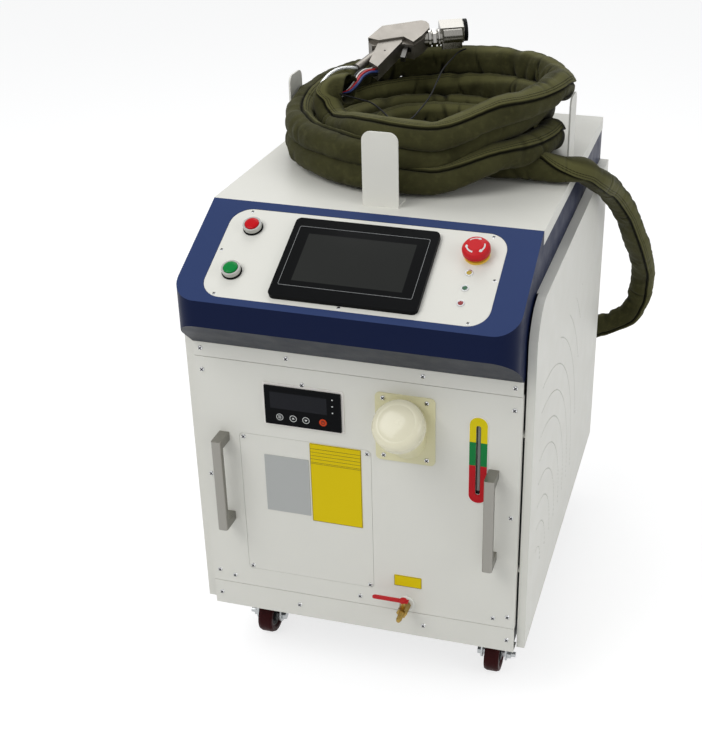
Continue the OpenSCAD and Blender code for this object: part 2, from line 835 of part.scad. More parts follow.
module stop_cap() color(signal_red) on_face() translate([stop_at.x, stop_at.y, -inset_sink])
    difference() {
        union() {
            translate([0, 0, stop_neck_h + stop_travel + clearance - stop_skirt]) turned([
                [0, 0], [stop_cap_r - button_edge, 0], [stop_cap_r, button_edge],
                [stop_cap_r, stop_cap_h - stop_round],
                [stop_cap_r - stop_round / 2, stop_cap_h - button_edge],
                [stop_cap_r - 2 * stop_round, stop_cap_h + button_edge], [0, stop_cap_h + button_edge]]);
            translate([0, 0, -button_depth])
                cylinder(r = button_stem_r - clearance, h = button_depth + stop_neck_h + stop_travel);
        }
        difference() {
            translate([0, 0, stop_base_h])
                cylinder(r = stop_neck_r + 2 * clearance,
                         h = stop_neck_h + stop_travel + clearance - stop_base_h);
            translate([0, 0, -button_depth])
                cylinder(r = button_stem_r - clearance, h = 2 * button_depth + stop_neck_h);
        }
    }

// Front fittings

module hose_bracket(rib) {
    rotate([90, 0, 0]) translate([0, 0, -bracket_t / 2]) linear_extrude(bracket_t) {
        translate([-bracket_w / 2, 0]) square([bracket_w, bracket_h - bracket_round]);
        translate([bracket_round - bracket_w / 2, 0]) square([bracket_w - 2 * bracket_round, bracket_h]);
        for (x = [bracket_round - bracket_w / 2, bracket_w / 2 - bracket_round])
            translate([x, bracket_h - bracket_round]) circle(bracket_round);
    }
    translate([-bracket_w / 2, -bracket_t / 2, 0]) cube([bracket_w, bracket_foot, bracket_t]);
    if (rib > 0) rotate([90, 0, 90]) translate([0, 0, -bracket_rib_t / 2]) linear_extrude(bracket_rib_t)
        polygon([[0, 0], [rib, 0], [rib, bracket_t], [bracket_t, bracket_rib_h], [0, bracket_rib_h]]);
}

module hose_brackets() color(cabinet_white) placed() translate([0, 0, cover_z]) {
    translate([0, bracket_front + cover_front + bracket_t, 0]) hose_bracket(bracket_ribs[0]);
    translate([0, bracket_rear, 0]) rotate([0, 0, 180]) hose_bracket(bracket_ribs[1]);
    both_sides() translate([bracket_side, coil_y, 0]) rotate([0, 0, 90]) hose_bracket(bracket_ribs[2]);
}

module pull_handles() color(aluminium) placed() both_sides() translate([handle_x, 0, 0]) {
    bar = handle_z[1] - handle_z[0];
    translate([0, -handle_out, handle_z[0]]) linear_extrude(bar) {
        translate([-handle_w / 2, handle_edge]) square([handle_w, handle_bar - handle_edge]);
        translate([handle_edge - handle_w / 2, 0]) square([handle_w - 2 * handle_edge, handle_edge]);
        for (x = [handle_edge - handle_w / 2, handle_w / 2 - handle_edge])
            translate([x, handle_edge]) circle(handle_edge);
    }
    for (z = [handle_z[0], handle_z[1] - handle_leg])
        translate([-handle_w / 2, handle_bar / 2 - handle_out, z])
            cube([handle_w, handle_out - handle_bar / 2, handle_leg]);
}

module controller_case() color(black) placed() difference() {
    union() {
        on_front(0, controller_proud)
            translate(corner_low(controller, controller_face)) square(controller_face);
        on_front(controller_depth, controller_depth)
            translate(corner_low(controller, controller_hole - [clearance, clearance]))
                square(controller_hole - [clearance, clearance]);
    }
    on_front(window_t - controller_proud, window_t + overrun)
        translate(corner_low(window_at, window_size)) square(window_size);
    on_front(3 * key_rise - controller_proud, 3 * key_rise + overrun)
        for (x = key_xs) translate([x, key_z]) circle(key_r + running_gap);
}

module controller_window() color("#2a2c30") placed() on_front(window_t - controller_proud, window_t)
    translate(corner_low(window_at, window_size) + [running_gap, running_gap])
        square(window_size - 2 * [running_gap, running_gap]);

module key(tint, x) color(tint) placed()
    on_front(2 * key_rise - controller_proud, 3 * key_rise - key_rise / 2)
        translate([x, key_z]) circle(key_r);
module key_set() key(black, key_xs[0]);
module key_up() key(black, key_xs[1]);
module key_down() key(black, key_xs[2]);
module key_power() key("#d2502a", key_xs[3]);

module gauge_plate() color(signal_green) placed() on_front(0, sheet) difference() {
    round_rect(corner_low(gauge_at, gauge_size), corner_high(gauge_at, gauge_size),
               gauge_size.x / 2 - clearance);
    gauge_opening();
}

module gauge_tube() color(plain_steel) placed()
    translate([gauge_at.x, sheet + tube_r, gauge_at.y - gauge_size.y / 2])
        cylinder(r = tube_r, h = gauge_size.y);

// The filler's axis leans out of the panel; the neck stops at the panel's face
module filler_axis() translate([cap_x, -cap_out, cap_z]) rotate([cap_tilt, 0, 0]) children();

module filler_neck() color(cream) placed() difference() {
    union() {
        difference() {
            filler_axis() translate([0, 0, -cap_out - cap_r])
                cylinder(r = neck_r, h = cap_out + cap_r - cap_h);
            translate([-cabinet_w, 0, 0]) cube([2 * cabinet_w, cabinet_d, cover_z]);
        }
        on_front(0, plate_rise) round_rect(
            corner_low(filler_at, filler_plate), corner_high(filler_at, filler_plate), filler_round);
        translate([filler_at.x, 0, filler_at.y]) rotate([-90, 0, 0])
            cylinder(r = neck_hole_r - clearance, h = tank_low.y);
    }
    on_front(overrun, plate_rise + 2 * overrun) for (at = filler_screws)
        translate(at) circle(screw_shank_r + shank_gap, $fn = 24);
}

module filler_cap() color(cream) placed() filler_axis() rotate_extrude() {
    translate([0, -cap_h + clearance]) square([cap_r, cap_h - cap_round - clearance]);
    translate([0, -cap_round]) square([cap_r - cap_round, cap_round]);
    intersection() {
        translate([cap_r - cap_round, -cap_round]) circle(cap_round);
        translate([0, -cap_round]) square([cap_r, cap_round]);
    }
}

module drain_valve() color(brass) placed() translate([drain_at.x, 0, drain_at.y]) {
    rotate([90, 0, 0]) cylinder(r = valve_r, h = valve_l);
    rotate([-90, 0, 0]) cylinder(r = valve_r, h = tank_low.y);
    translate([0, -grommet_t, 0]) rotate([90, 0, 0])
        cylinder(r = valve_hex_r, h = valve_l - grommet_t, $fn = 6);
    for (i = [0 : barbs - 1]) translate([0, -valve_l - i * barb_r, 0]) rotate([90, 0, 0])
        cylinder(r1 = barb_r, r2 = barb_tip_r, h = barb_r);
    rotate([90, 0, 0]) cylinder(r = grommet_r, h = grommet_t);
    translate([0, -stem_out, 0]) cylinder(r = stem_r, h = stem_top - clearance);
}

module drain_lever() color(signal_red) placed() translate([drain_at.x, -stem_out, drain_at.y + stem_top]) {
    translate([-lever_l, -lever_w / 2, 0]) cube([lever_l + lever_back, lever_w, lever_t]);
    translate([-lever_l, 0, 0]) cylinder(r = lever_w / 2, h = lever_t);
    cylinder(r = lever_boss_r, h = 2 * lever_t);
}

// Screws with domed heads, and their shanks in the panels

module panel_screw(at, y) translate([at.x, y, at.y]) rotate([90, 0, 0]) {
    turned(concat([[0, 0], [screw_r, 0]], [for (s = screw_dome_shares) [screw_r * s.x, screw_h * s.y]],
                  [[0, screw_h]]));
    translate([0, 0, -screw_shank]) cylinder(r = screw_shank_r, h = screw_shank + clearance, $fn = 24);
}

module panel_screws() color(chrome) {
    placed() {
        for (at = concat(strip_and_kick_screws(), main_screws(), access_screws)) panel_screw(at, 0);
        for (at = filler_screws) panel_screw(at, -plate_rise);
    }
    on_face() for (at = plate_screws) translate([at.x, at.y, -inset_sink]) {
        turned([[0, 0], [plate_screw_r, 0], [plate_screw_r / 2, screw_h / 2], [0, screw_h / 2]]);
        translate([0, 0, -shell_t]) cylinder(r = screw_shank_r, h = shell_t + clearance, $fn = 24);
    }
}

// Casters

module caster_plates() color(plain_steel) placed() for (side = [-1, 1])
    translate([side * wheel_x, swivel_y, 0]) {
        translate([-plate_w / 2, -plate_w / 2, channel_z - plate_t]) cube([plate_w, plate_w, plate_t]);
        translate([0, 0, channel_z - plate_t - race_h]) cylinder(r = race_r, h = race_h + overrun);
        translate([0, 0, fork_top_z - fork_top_t - clearance]) cylinder(r = king_r, h = race_h + fork_top_t);
        translate([0, 0, fork_top_z - fork_top_t - clearance - plate_t])
            cylinder(r = nut_r, h = plate_t, $fn = 6);
    }

// One leg in Y and Z, from the swivel axis to the wheel axis
module leg_outline(ahead) {
    difference() {
        union() {
            polygon([[-race_r, fork_top_z], [race_r, fork_top_z], [race_r, pedal_z - 2 * pedal_pin_r],
                     [pedal_y, pedal_z - 3 * pedal_pin_r],
                     [leg_eye - ahead, wheel_r], [-leg_eye - ahead, wheel_r]]);
            translate([-ahead, wheel_r]) circle(leg_eye);
        }
        translate([-ahead, wheel_r]) circle(axle_r + running_gap);
        if (ahead > 0) translate([pedal_y, pedal_z]) circle(pedal_pin_r + running_gap);
    }
}

module fork_leg(side, ahead) translate([side > 0 ? leg_in : -leg_in - leg_t, 0, 0])
    rotate([90, 0, 90]) linear_extrude(leg_t) leg_outline(ahead);

// The axle is fixed in the fork: a bolt with a head outside and a nut inside
module axle(outer, ahead) translate([0, -ahead, wheel_r]) rotate([0, 90, 0]) {
    translate([0, 0, -leg_in - leg_t - nut_h]) cylinder(r = axle_r, h = 2 * (leg_in + leg_t + nut_h));
    for (z = [-leg_in - leg_t - nut_h, leg_in + leg_t]) translate([0, 0, z])
        cylinder(r = nut_r, h = nut_h, $fn = 6);
    translate([0, 0, outer > 0 ? leg_in + leg_t : -leg_in - leg_t - bolt_end])
        cylinder(r = axle_r, h = bolt_end);
    for (z = [-leg_in, wheel_w / 2 + running_gap]) translate([0, 0, z])
        cylinder(r = axle_r + 2 * overrun, h = leg_in - wheel_w / 2 - running_gap);
}

module front_fork(side) color(plain_steel) placed() translate([side * wheel_x, swivel_y, 0]) {
    difference() {
        union() {
            for (s = [-1, 1]) fork_leg(s, trail);
            translate([-leg_in - leg_t, -race_r, fork_top_z - fork_top_t])
                cube([2 * (leg_in + leg_t), 2 * race_r, fork_top_t]);
        }
        translate([0, 0, fork_top_z - fork_top_t - overrun])
            cylinder(r = king_r + running_gap, h = fork_top_t + 2 * overrun);
    }
    axle(side, trail);
}
module front_fork_left() front_fork(-1);
module front_fork_right() front_fork(1);

module rear_forks() color(plain_steel) placed() for (side = [-1, 1])
    translate([side * wheel_x, rear_wheel_y, 0]) {
        for (s = [-1, 1]) translate([s > 0 ? leg_in : -leg_in - leg_t, 0, 0])
            rotate([90, 0, 90]) linear_extrude(leg_t) {
                polygon([[-race_r, channel_z - plate_t], [race_r, channel_z - plate_t],
                         [leg_eye, wheel_r], [-leg_eye, wheel_r]]);
                translate([0, wheel_r]) circle(leg_eye);
            }
        translate([-plate_w / 2, -plate_w / 2, channel_z - plate_t]) cube([plate_w, plate_w, plate_t]);
        axle(side, 0);
    }

module wheel(side, y) color(tread_maroon) placed() translate([side * wheel_x, y, wheel_r]) rotate([0, 90, 0])
    rotate_extrude($fn = 96) polygon([
        [axle_r + running_gap, -wheel_w / 2], [leg_eye, -wheel_w / 2],
        [leg_eye + rim_step, rim_step * 2 - wheel_w / 2],
        [tread_recess_r, rim_step * 2 - wheel_w / 2], [hub_r, -wheel_w / 2],
        [wheel_r - rim_step, -wheel_w / 2],
        [wheel_r, tread_round - wheel_w / 2], [wheel_r, wheel_w / 2 - tread_round],
        [wheel_r - rim_step, wheel_w / 2],
        [hub_r, wheel_w / 2], [tread_recess_r, wheel_w / 2 - rim_step * 2],
        [leg_eye + rim_step, wheel_w / 2 - rim_step * 2], [leg_eye, wheel_w / 2],
        [axle_r + running_gap, wheel_w / 2]]);
module front_wheel_left() wheel(-1, wheel_y);
module front_wheel_right() wheel(1, wheel_y);
module rear_wheel_left() wheel(-1, rear_wheel_y);
module rear_wheel_right() wheel(1, rear_wheel_y);

module brake_pedal(side) color(signal_red) placed() translate([side * wheel_x, swivel_y + pedal_y, pedal_z]) {
    rotate([0, 90, 0]) translate([0, 0, -leg_in - leg_t - overrun])
        cylinder(r = pedal_pin_r, h = 2 * (leg_in + leg_t + overrun));
    translate([clearance - leg_in, -pedal_back, -pedal_t / 2])
        cube([2 * (leg_in - clearance), pedal_l + pedal_back, pedal_t]);
}
module brake_pedal_left() brake_pedal(-1);
module brake_pedal_right() brake_pedal(1);

// Rear fittings

module rear_glands() color(black) placed() {
    translate([gland_at.x, cabinet_d, gland_at.y]) rotate([-90, 0, 0]) difference() {
        union() {
            cylinder(r = gland_r, h = gland_l);
            cylinder(r = gland_flange_r, h = gland_flange_t, $fn = 6);
        }
        translate([0, 0, -overrun]) cylinder(r = gland_hole_r - 2 * overrun, h = gland_l + 2 * overrun);
    }
    translate([power_gland_at.x, cabinet_d, power_gland_at.y]) rotate([-90, 0, 0]) difference() {
        union() {
            cylinder(r = power_neck_r, h = power_gland_l);
            cylinder(r = power_gland_r, h = gland_flange_t, $fn = 6);
        }
        translate([0, 0, -overrun]) cylinder(r = power_hole_r, h = power_gland_l + 2 * overrun);
    }
    translate([gas_at.x, cabinet_d - gas_l, gas_at.y]) rotate([-90, 0, 0]) {
        cylinder(r = gas_r, h = 2 * gas_l);
        translate([0, 0, gas_l]) cylinder(r = gas_nut_r, h = gland_flange_t, $fn = 6);
    }
}

module main_switch() color(signal_red) placed()
    translate([switch_at.x, cabinet_d, switch_at.y]) rotate([-90, 0, 0]) {
    translate([0, 0, clearance]) {
        cylinder(r = switch_disc_r, h = switch_plate_t);
        translate(-[switch_handle.x, switch_handle.y, 0] / 2) cube(switch_handle);
    }
    translate([0, 0, -gas_l]) cylinder(r = switch_shaft_r, h = gas_l + 2 * switch_plate_t);
}

// Hose

function smooth(t) = let (c = min(1, max(0, t))) c * c * (3 - 2 * c);

// Radius of the loops, drawn in at the start, at the right of the second turn and at the mouth
function loop_r(u) =
    coil_inner_r - inner_pitch * min(inner_hold, max(0, -u))
    + (coil_r - coil_inner_r) * smooth((u - rise_from) / (rise_to - rise_from))
    - waist_in * (1 - smooth(abs(u - waist_turn) / waist_span))
    - (coil_r - mouth_r) * smooth((u - mouth_from) / (coil_turns - mouth_from));

// Loose stacking: none at the front of the coil, most at its back
function slack(u) = let (f = u - coil_first - floor(u - coil_first)) pow(sin(180 * pow(f, coil_lean)), 2);

// Every loop climbs over the stretch that comes in under the first one
function crossing(u) =
    let (g = u - floor(u - cross_middle))
    smooth((g - cross_full[0] + cross_ramp) / cross_ramp) * (1 - smooth((g - cross_full[1]) / cross_ramp));

function loop_z(u) =
    cover_z + coil_rest + sleeve_h / 2
    + max(0, u - coil_first) * coil_pitch
    + min(swell_hold, max(0, u - coil_first)) * coil_swell * slack(u)
    + cross_lift * crossing(u)
    - mouth_fall * pow(smooth((u - mouth_from) / (coil_turns - mouth_from)), mouth_power);

function loop_point(u) =
    let (a = coil_start - 360 * u)
    let (r = loop_r(u) - pinch * pow(cos(a), pinch_power))
    [r * cos(a), coil_y + r * sin(a), loop_z(u)];

// The lead-in runs from the cover's edge, under the loops that climb over it, to the start of the inner turn
inner_rings = round(inner_turns * rings_a_turn);
inner_start = loop_point(-inner_rings / rings_a_turn);
function lead_point(t) =
    let (p = pow(1 - t, 2) * lead_in + 2 * t * (1 - t) * lead_bend + t * t * [inner_start.x, inner_start.y])
    [p.x, p.y, inner_start.z];
coil_line = concat(
    [for (i = [0 : lead_rings - 1]) lead_point(i / lead_rings)],
    [for (i = [-inner_rings : round(coil_turns * rings_a_turn)]) loop_point(i / rings_a_turn)]);

// Least gap between one loop and the next, along the line between their middles
function oval_reach(dr, dz) = norm([dr, dz]) / norm([dr / (sleeve_w / 2), dz / (sleeve_h / 2)]);
function loop_gap(u) =
    let (dr = loop_r(u + 1) - loop_r(u))
    let (dz = loop_z(u + 1) - loop_z(u))
    norm([dr, dz]) - 2 * oval_reach(dr, dz);
gaps = [for (i = [-inner_rings : (coil_turns - 1) * rings_a_turn]) loop_gap(i / rings_a_turn)];
echo(least_gap_between_loops = min(gaps));

module hose_coil() color(canvas_green) placed() {
    points = [for (i = [0 : len(coil_line) - 1]) each
        let (t = tangent(coil_line, i))
        let (side = unit(cross(t, [0, 0, 1])))
        ring_points(coil_line[i], side, cross(side, t), sleeve_w / 2, sleeve_h / 2, coil_sides)];
    polyhedron(points, concat(ring_faces(len(coil_line), coil_sides), end_faces(len(coil_line), coil_sides)));
}

module hose_drop() color(canvas_green) placed() round_tube(drop_route, hose_d / 2, drop_sides, [1, 0, 0]);

// Gun, in its own frame: x along the barrel, y away from the grip, z out of the upper side

module gun_frame() placed() translate(gun_at) rotate(gun_turn) children();

module gun_body() color(aluminium) gun_frame() difference() {
    union() {
        translate([0, 0, -gun_t]) linear_extrude(gun_t - lid_t) polygon(gun_l * housing_shares);
        translate([0, 0, -lid_t]) linear_extrude(lid_t) polygon(gun_l * lid_shares);
        translate([0, 0, grip_low]) linear_extrude(grip_t) polygon(gun_l * grip_shares);
        translate([fitting_at.x, fitting_at.y, -gun_t / 2]) rotate([90, 0, fitting_turn])
            cylinder(r = fitting_r, h = fitting_l);
    }
    translate([0, 0, trigger_low - clearance]) linear_extrude(trigger_t + 2 * clearance)
        polygon(gun_l * pocket_shares);
    translate([trigger_pin.x, trigger_pin.y, trigger_low + trigger_t / 2 - trigger_pin_l / 2 - clearance])
        cylinder(r = trigger_pin_r + running_gap, h = trigger_pin_l + 2 * clearance);
    translate([neck_at.x, neck_at.y, -gun_t / 2]) rotate([0, 90, 0])
        cylinder(r = neck_rad + running_gap, h = neck_l);
}

module gun_head() color(chrome) gun_frame() {
    translate([neck_at.x, neck_at.y, -gun_t / 2]) rotate([0, 90, 0]) cylinder(r = neck_rad, h = neck_l);
    block(block_low, block_high);
    translate([block_low.x + band_in, block_low.y, band_z]) rotate([0, 90, 0])
        cylinder(r = band_r, h = block_high.x - block_low.x - 2 * band_in);
    translate([block_high.x, (block_low.y + block_high.y) / 2, band_z]) rotate([0, 90, 0]) difference() {
        cylinder(r = nose_r, h = nose_l);
        translate([0, 0, overrun]) cylinder(r = nozzle_r, h = nose_l);
    }
}

module gun_trigger() color(black) gun_frame() {
    translate([0, 0, trigger_low]) linear_extrude(trigger_t) {
        polygon(gun_l * blade_shares);
        translate(trigger_pin) circle(trigger_eye);
    }
    translate([trigger_pin.x, trigger_pin.y, trigger_low + trigger_t / 2 - trigger_pin_l / 2])
        cylinder(r = trigger_pin_r, h = trigger_pin_l);
}

module gun_leads() color(black) placed()
    round_tube(concat([loop_point(coil_turns)], [for (p = lead_route) [p.x, p.y, cover_z + p.z]]),
               lead_r, lead_sides, [0, 0, 1]);

// Works inside the cabinet

module fan_rotor() color(black) placed() translate(fan_at) rotate([-90, 0, 0]) {
    difference() {
        cylinder(r = fan_hub_r, h = fan_w);
        translate([0, 0, -overrun]) cylinder(r = shaft_r + running_gap, h = fan_w + 2 * overrun);
    }
    for (k = [0 : fan_blades - 1]) rotate([0, 0, 360 * k / fan_blades])
        translate([fan_hub_r - overrun, 0, fan_w / 2]) rotate([blade_pitch, 0, 0])
            translate([0, -blade_w / 2, -blade_t / 2]) cube([fan_r - fan_hub_r, blade_w, blade_t]);
}

module laser_source() color(inner_metal) placed() {
    block([overrun - frame_x, mid_y + tube + overrun, shelf_z],
          [frame_x - overrun, rail_back - tube - overrun, source_low.z]);
    difference() {
        block(source_low, source_high);
        for (x = [source_low.x + fin_pitch : fin_pitch : source_high.x - fin_pitch])
            translate([x, source_low.y - overrun, source_high.z - fin_cut])
                cube([fin_cut, source_high.y - source_low.y + 2 * overrun, fin_cut + overrun]);
    }
}

module cooling_unit() color(inner_metal) placed() {
    block(tank_low, tank_high);
    difference() {
        block(condenser_low, condenser_high);
        for (x = [condenser_low.x + fin_pitch : fin_pitch : condenser_high.x - fin_pitch])
            translate([x, condenser_low.y - overrun, condenser_low.z + fin_cut])
                cube([fin_cut / 2, fin_cut + overrun, condenser_high.z - condenser_low.z - 2 * fin_cut]);
    }
    translate([fan_at.x, condenser_high.y, fan_at.z]) rotate([-90, 0, 0]) {
        cylinder(r = motor_r, h = fan_at.y - condenser_high.y - motor_l / 2);
        cylinder(r = shaft_r, h = fan_at.y - condenser_high.y + fan_w);
    }
    translate([compressor_at.x, compressor_at.y, tank_low.z]) {
        cylinder(r = compressor_r, h = compressor_h);
        translate([0, 0, compressor_h]) cylinder(r1 = compressor_r, r2 = compressor_r / 2, h = fin_pitch);
    }
    translate([pump_at.x - pump_size.x / 2, pump_at.y, tank_low.z]) cube(pump_size);
    translate([pump_at.x, pump_at.y + pump_size.y, tank_low.z + pump_size.z / 2]) rotate([-90, 0, 0])
        cylinder(r = pump_motor_r, h = pump_size.z);
    block(supply_low, supply_high);
}

base_frame();
frame_posts();
top_rails();
side_rails();
caster_channels();
equipment_tray();
front_panel();
access_panel();
upper_strip();
kick_plate();
side_panel_left();
side_panel_right();
rear_panel();
top_cover();
console_shell();
console_plate();
screen_bezel();
screen_glass();
hose_brackets();
pull_handles();
controller_case();
controller_window();
key_set();
key_up();
key_down();
key_power();
gauge_plate();
gauge_tube();
filler_neck();
filler_cap();
drain_valve();
drain_lever();
indicator_lamps();
control_rings();
stop_base();
stop_cap();
red_button();
green_button();
caster_plates();
front_fork_left();
front_fork_right();
rear_forks();
front_wheel_left();
front_wheel_right();
rear_wheel_left();
rear_wheel_right();
brake_pedal_left();
brake_pedal_right();
rear_glands();
hose_drop();
hose_coil();
gun_body();
gun_head();
gun_trigger();
gun_leads();
panel_screws();
fan_rotor();
laser_source();
cooling_unit();
main_switch();
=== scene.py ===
import math

import bpy
import numpy as np
from mathutils import Euler, Matrix, Vector


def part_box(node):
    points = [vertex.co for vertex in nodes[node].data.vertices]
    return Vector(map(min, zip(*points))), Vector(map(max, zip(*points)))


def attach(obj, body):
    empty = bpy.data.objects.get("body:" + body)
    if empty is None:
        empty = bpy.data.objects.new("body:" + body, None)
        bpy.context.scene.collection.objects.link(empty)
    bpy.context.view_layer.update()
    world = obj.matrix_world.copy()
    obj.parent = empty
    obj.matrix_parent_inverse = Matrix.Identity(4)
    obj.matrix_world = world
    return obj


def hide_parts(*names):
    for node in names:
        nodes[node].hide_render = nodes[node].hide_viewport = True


bl_info = {
    "name": "Laser welding machine",
    "version": (1, 0, 0),
    "blender": (4, 5, 0),
    "location": "View3D > Sidebar > Welder",
    "description": "Finishes, sleeved hose, leads and small fittings of a cabinet laser welding machine",
    "category": "Object",
}

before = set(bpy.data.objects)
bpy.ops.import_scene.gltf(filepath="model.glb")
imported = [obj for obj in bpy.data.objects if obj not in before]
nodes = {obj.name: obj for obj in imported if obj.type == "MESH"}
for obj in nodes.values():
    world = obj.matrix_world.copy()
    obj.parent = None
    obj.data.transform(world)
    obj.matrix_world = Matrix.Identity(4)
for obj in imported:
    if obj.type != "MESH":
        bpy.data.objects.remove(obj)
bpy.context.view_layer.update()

# The front panel's face and the cover's top, from which the other places are taken
FRONT_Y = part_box("access_panel")[0].y
COVER_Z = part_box("top_cover")[1].z
CABINET = "cabinet"

# Sloping face of the console, in metres and radians
CONSOLE_LOW = 0.766     # height of its lower edge
CONSOLE_OUT = 0.066     # how far that edge stands before the front panel
CONSOLE_TILT = math.radians(26.93)

# Picture area of the screen: across in metres, and up the console's slope in millimetres
SCREEN_ACROSS = (-0.0895, 0.0865)
SCREEN_UP = (70, 166)

# Camera of the photograph
PICTURE = (702, 730)    # width and height, in pixels
FOCAL = 1239.0          # focal length, in pixels
STRAIGHT_AHEAD = (465.95, 340.85)           # where the camera points, in pixels
SENSOR = 36             # width, in millimetres
EYE = (568.3, -1633.8, 1561.0)              # from the front panel's face and the floor, in millimetres
RIGHT = (0.971247, 0.237653, 0.014154)      # the picture's three directions in the machine's frame
DOWN = (0.118687, -0.431804, -0.894125)
AHEAD = (-0.206380, 0.870096, -0.447594)

# Coil of the hose, in millimetres, degrees and turns
COIL_FROM = -20 / 24    # turn at its inner start
COIL_TO = 3.27          # turn at its end
COIL_STEP = 1 / 96
COIL_ANGLE = -45        # way that turn 0 lies from the middle
COIL_Y = 462            # middle, from the front panel's face back
COIL_RADIUS = 190       # at turn 0
GROW_INNER = 110        # gained in a whole turn, before turn 0
INNER_TURNS = 0.71      # most of a turn that this takes
GROW_OUTER = 52         # gained in the first turn
OUTER_FROM = 0.45       # turn at which that starts
OUTER_RAMP = 0.6        # turns that it takes
DRAW_RIGHT = 34         # drawn in at the second turn's right
RIGHT_AT = 1.875        # turn at which that is deepest
RIGHT_RAMP = 0.4        # turns on both sides of it
DRAW_MOUTH = 62         # drawn in at the mouth
DRAW_SIDES = 13         # drawn in at the left and right of every turn
FOOT = 19.3             # first loop's middle over the cover
PITCH = 36.5            # climb in a turn
CLIMB_FROM = 1.125      # turn at which the climb starts
SWELL = 44.4            # rise at the back, for each turn climbed
SWELL_HOLD = 0.8        # turns after which it grows no more
CROSS_LIFT = 34         # rise where a loop crosses the one below
CROSS_FROM = 0.9        # part of the turn at which that is full
CROSS_TO = 1.0          # and at which it ends
CROSS_RAMP = 0.085
MOUTH_FROM = 3.05       # turn at which the mouth's share starts
MOUTH_RAMP = 0.22
MOUTH_FALL = 36

# Points of the hanging stretch, from the rear gland to the cover's edge, and of the last one, which turns up
# at the left and back over itself, so that it opens towards the gun, in millimetres
DROP_ROUTE = [
    [215, 792, 330], [215, 838, 330], [230, 874, 331], [262, 902, 334], [306, 915, 346],
    [340, 916, 370], [357, 911, 410], [364, 898, 460], [366, 868, 506], [363, 826, 548],
    [352, 765, 616], [336, 692, 694], [318, 612, 760], [314, 530, 802], [311, 455, 834],
    [304, 400, 862], [288, 367, 883], [262, 350, 884.5]]
MOUTH_ROUTE = [[-157, 366, 940], [-165, 382, 957], [-153, 394, 970], [-131, 398, 974]]

# Turns of the coil, and how far the flap's free edge is rolled up from the outer side there, in degrees
FLAP_TURNS = [
    -1, 0.7, 0.85, 1.0, 1.08, 1.16, 1.6, 1.78, 1.87, 2.0, 2.1, 2.2, 2.5, 2.75, 2.87, 3.0, 3.1, 3.2, 3.3]
FLAP_ROLL = [
    100, 80, 25, 38, 62, 112, 112, 50, 20, 40, 60, 112, 115, 60, 12, 36, 55, 60, 66]

# Sleeve, in metres
SLEEVE_STEP = 0.0039    # distance between its rings
CUFF_RINGS = 24         # rings in its open end
HANGING_HEIGHT = 0.041
EDGE_BEFORE = 0.04      # how far before the cover's edge it starts to lie down
EDGE_RAMP = 0.12        # and the length that this takes
LOOP_HALF = 0.016       # half height that the loops' middle line allows for
SLACK_TALLER = 0.008    # taller where the loops are slack
SLACK_LOWER = 0.009     # and lower
NECK_LENGTH = 0.07      # stretch at the gland where it is drawn in
NECK_WIDTH = 0.84       # to these shares of its width and height
NECK_HEIGHT = 0.95
FLARE_LENGTH = 0.075    # stretch at the open end where it widens
FLARE_WIDER = 0.010     # by this much across and up
FLARE_TALLER = 0.008
OVAL_POWER = 2.35
SLEEVE_LEAST = 0.014    # least distance from its middle
SLEEVE_MOST = 0.0325    # and most
THREAD_PITCH = 0.0011

# Its relief: how many, the narrowest and the widest in metres. Folds and puckers are counted in a metre
FOLDS = (58, 0.0035, 0.0085)
PUCKERS = (26, 0.010, 0.019)
LUMPS = (14, 0.05, 0.3)
QUILT = (10, 0.012, 0.035)
FOLD_SIDE = math.radians(170)       # way round at which folds gather

# Flap, in degrees round from its free edge
FLAP_ENDS = 55          # where it starts to run into the sleeve
FLAP_RAMP = 50          # and how far that takes
GAP_AT = 357            # middle of the shadow gap under its edge
GAP_WIDTH = 6.0


def tint(code):
    """Six hex digits as linear red, green and blue: ((c + 0.055) / 1.055) ^ 2.4 above the toe."""
    parts = np.array([int(code[i:i + 2], 16) for i in (0, 2, 4)]) / 255
    linear = np.where(parts <= 0.04045, parts / 12.92, ((parts + 0.055) / 1.055) ** 2.4)
    return tuple(float(x) for x in linear)


def colour(name, description, code):
    return bpy.props.FloatVectorProperty(
        name=name, description=description, subtype="COLOR", size=3, min=0, max=1, default=tint(code))


def length(name, description, default):
    return bpy.props.FloatProperty(name=name, description=description, unit="LENGTH", default=default)


class WelderColours(bpy.types.PropertyGroup):
    cabinet: colour("Cabinet", "Powder coat of the panels, cover and brackets", "dfded6")
    console: colour("Console", "Paint of the console shell", "303f68")
    canvas: colour("Canvas", "Waxed canvas of the hose sleeve", "3b3a22")
    cream: colour("Filler", "Plastic of the coolant filler and its cap", "e6e1c6")
    tread: colour("Tread", "Polyurethane of the caster wheels", "351213")
    plate: colour("Plates", "Lacquer of the blank plates on the front", "dcc30c")


class WelderSizes(bpy.types.PropertyGroup):
    sleeve_width: length("Sleeve width", "Width of the sleeved hose where it lies in the coil", 0.048)
    sleeve_height: length("Sleeve height", "Thickness of the sleeved hose where it lies in the coil", 0.043)
    hanging_width: length("Hanging width", "Width of the sleeved hose where it hangs free", 0.047)
    flap_lift: length("Flap lift", "How far the closing flap stands off the sleeve", 0.0034)
    fold_depth: length("Fold depth", "Depth of the deepest folds in the canvas", 0.0042)
    stitch: length("Stitch", "Distance from one stitch to the next", 0.0045)


# Node materials

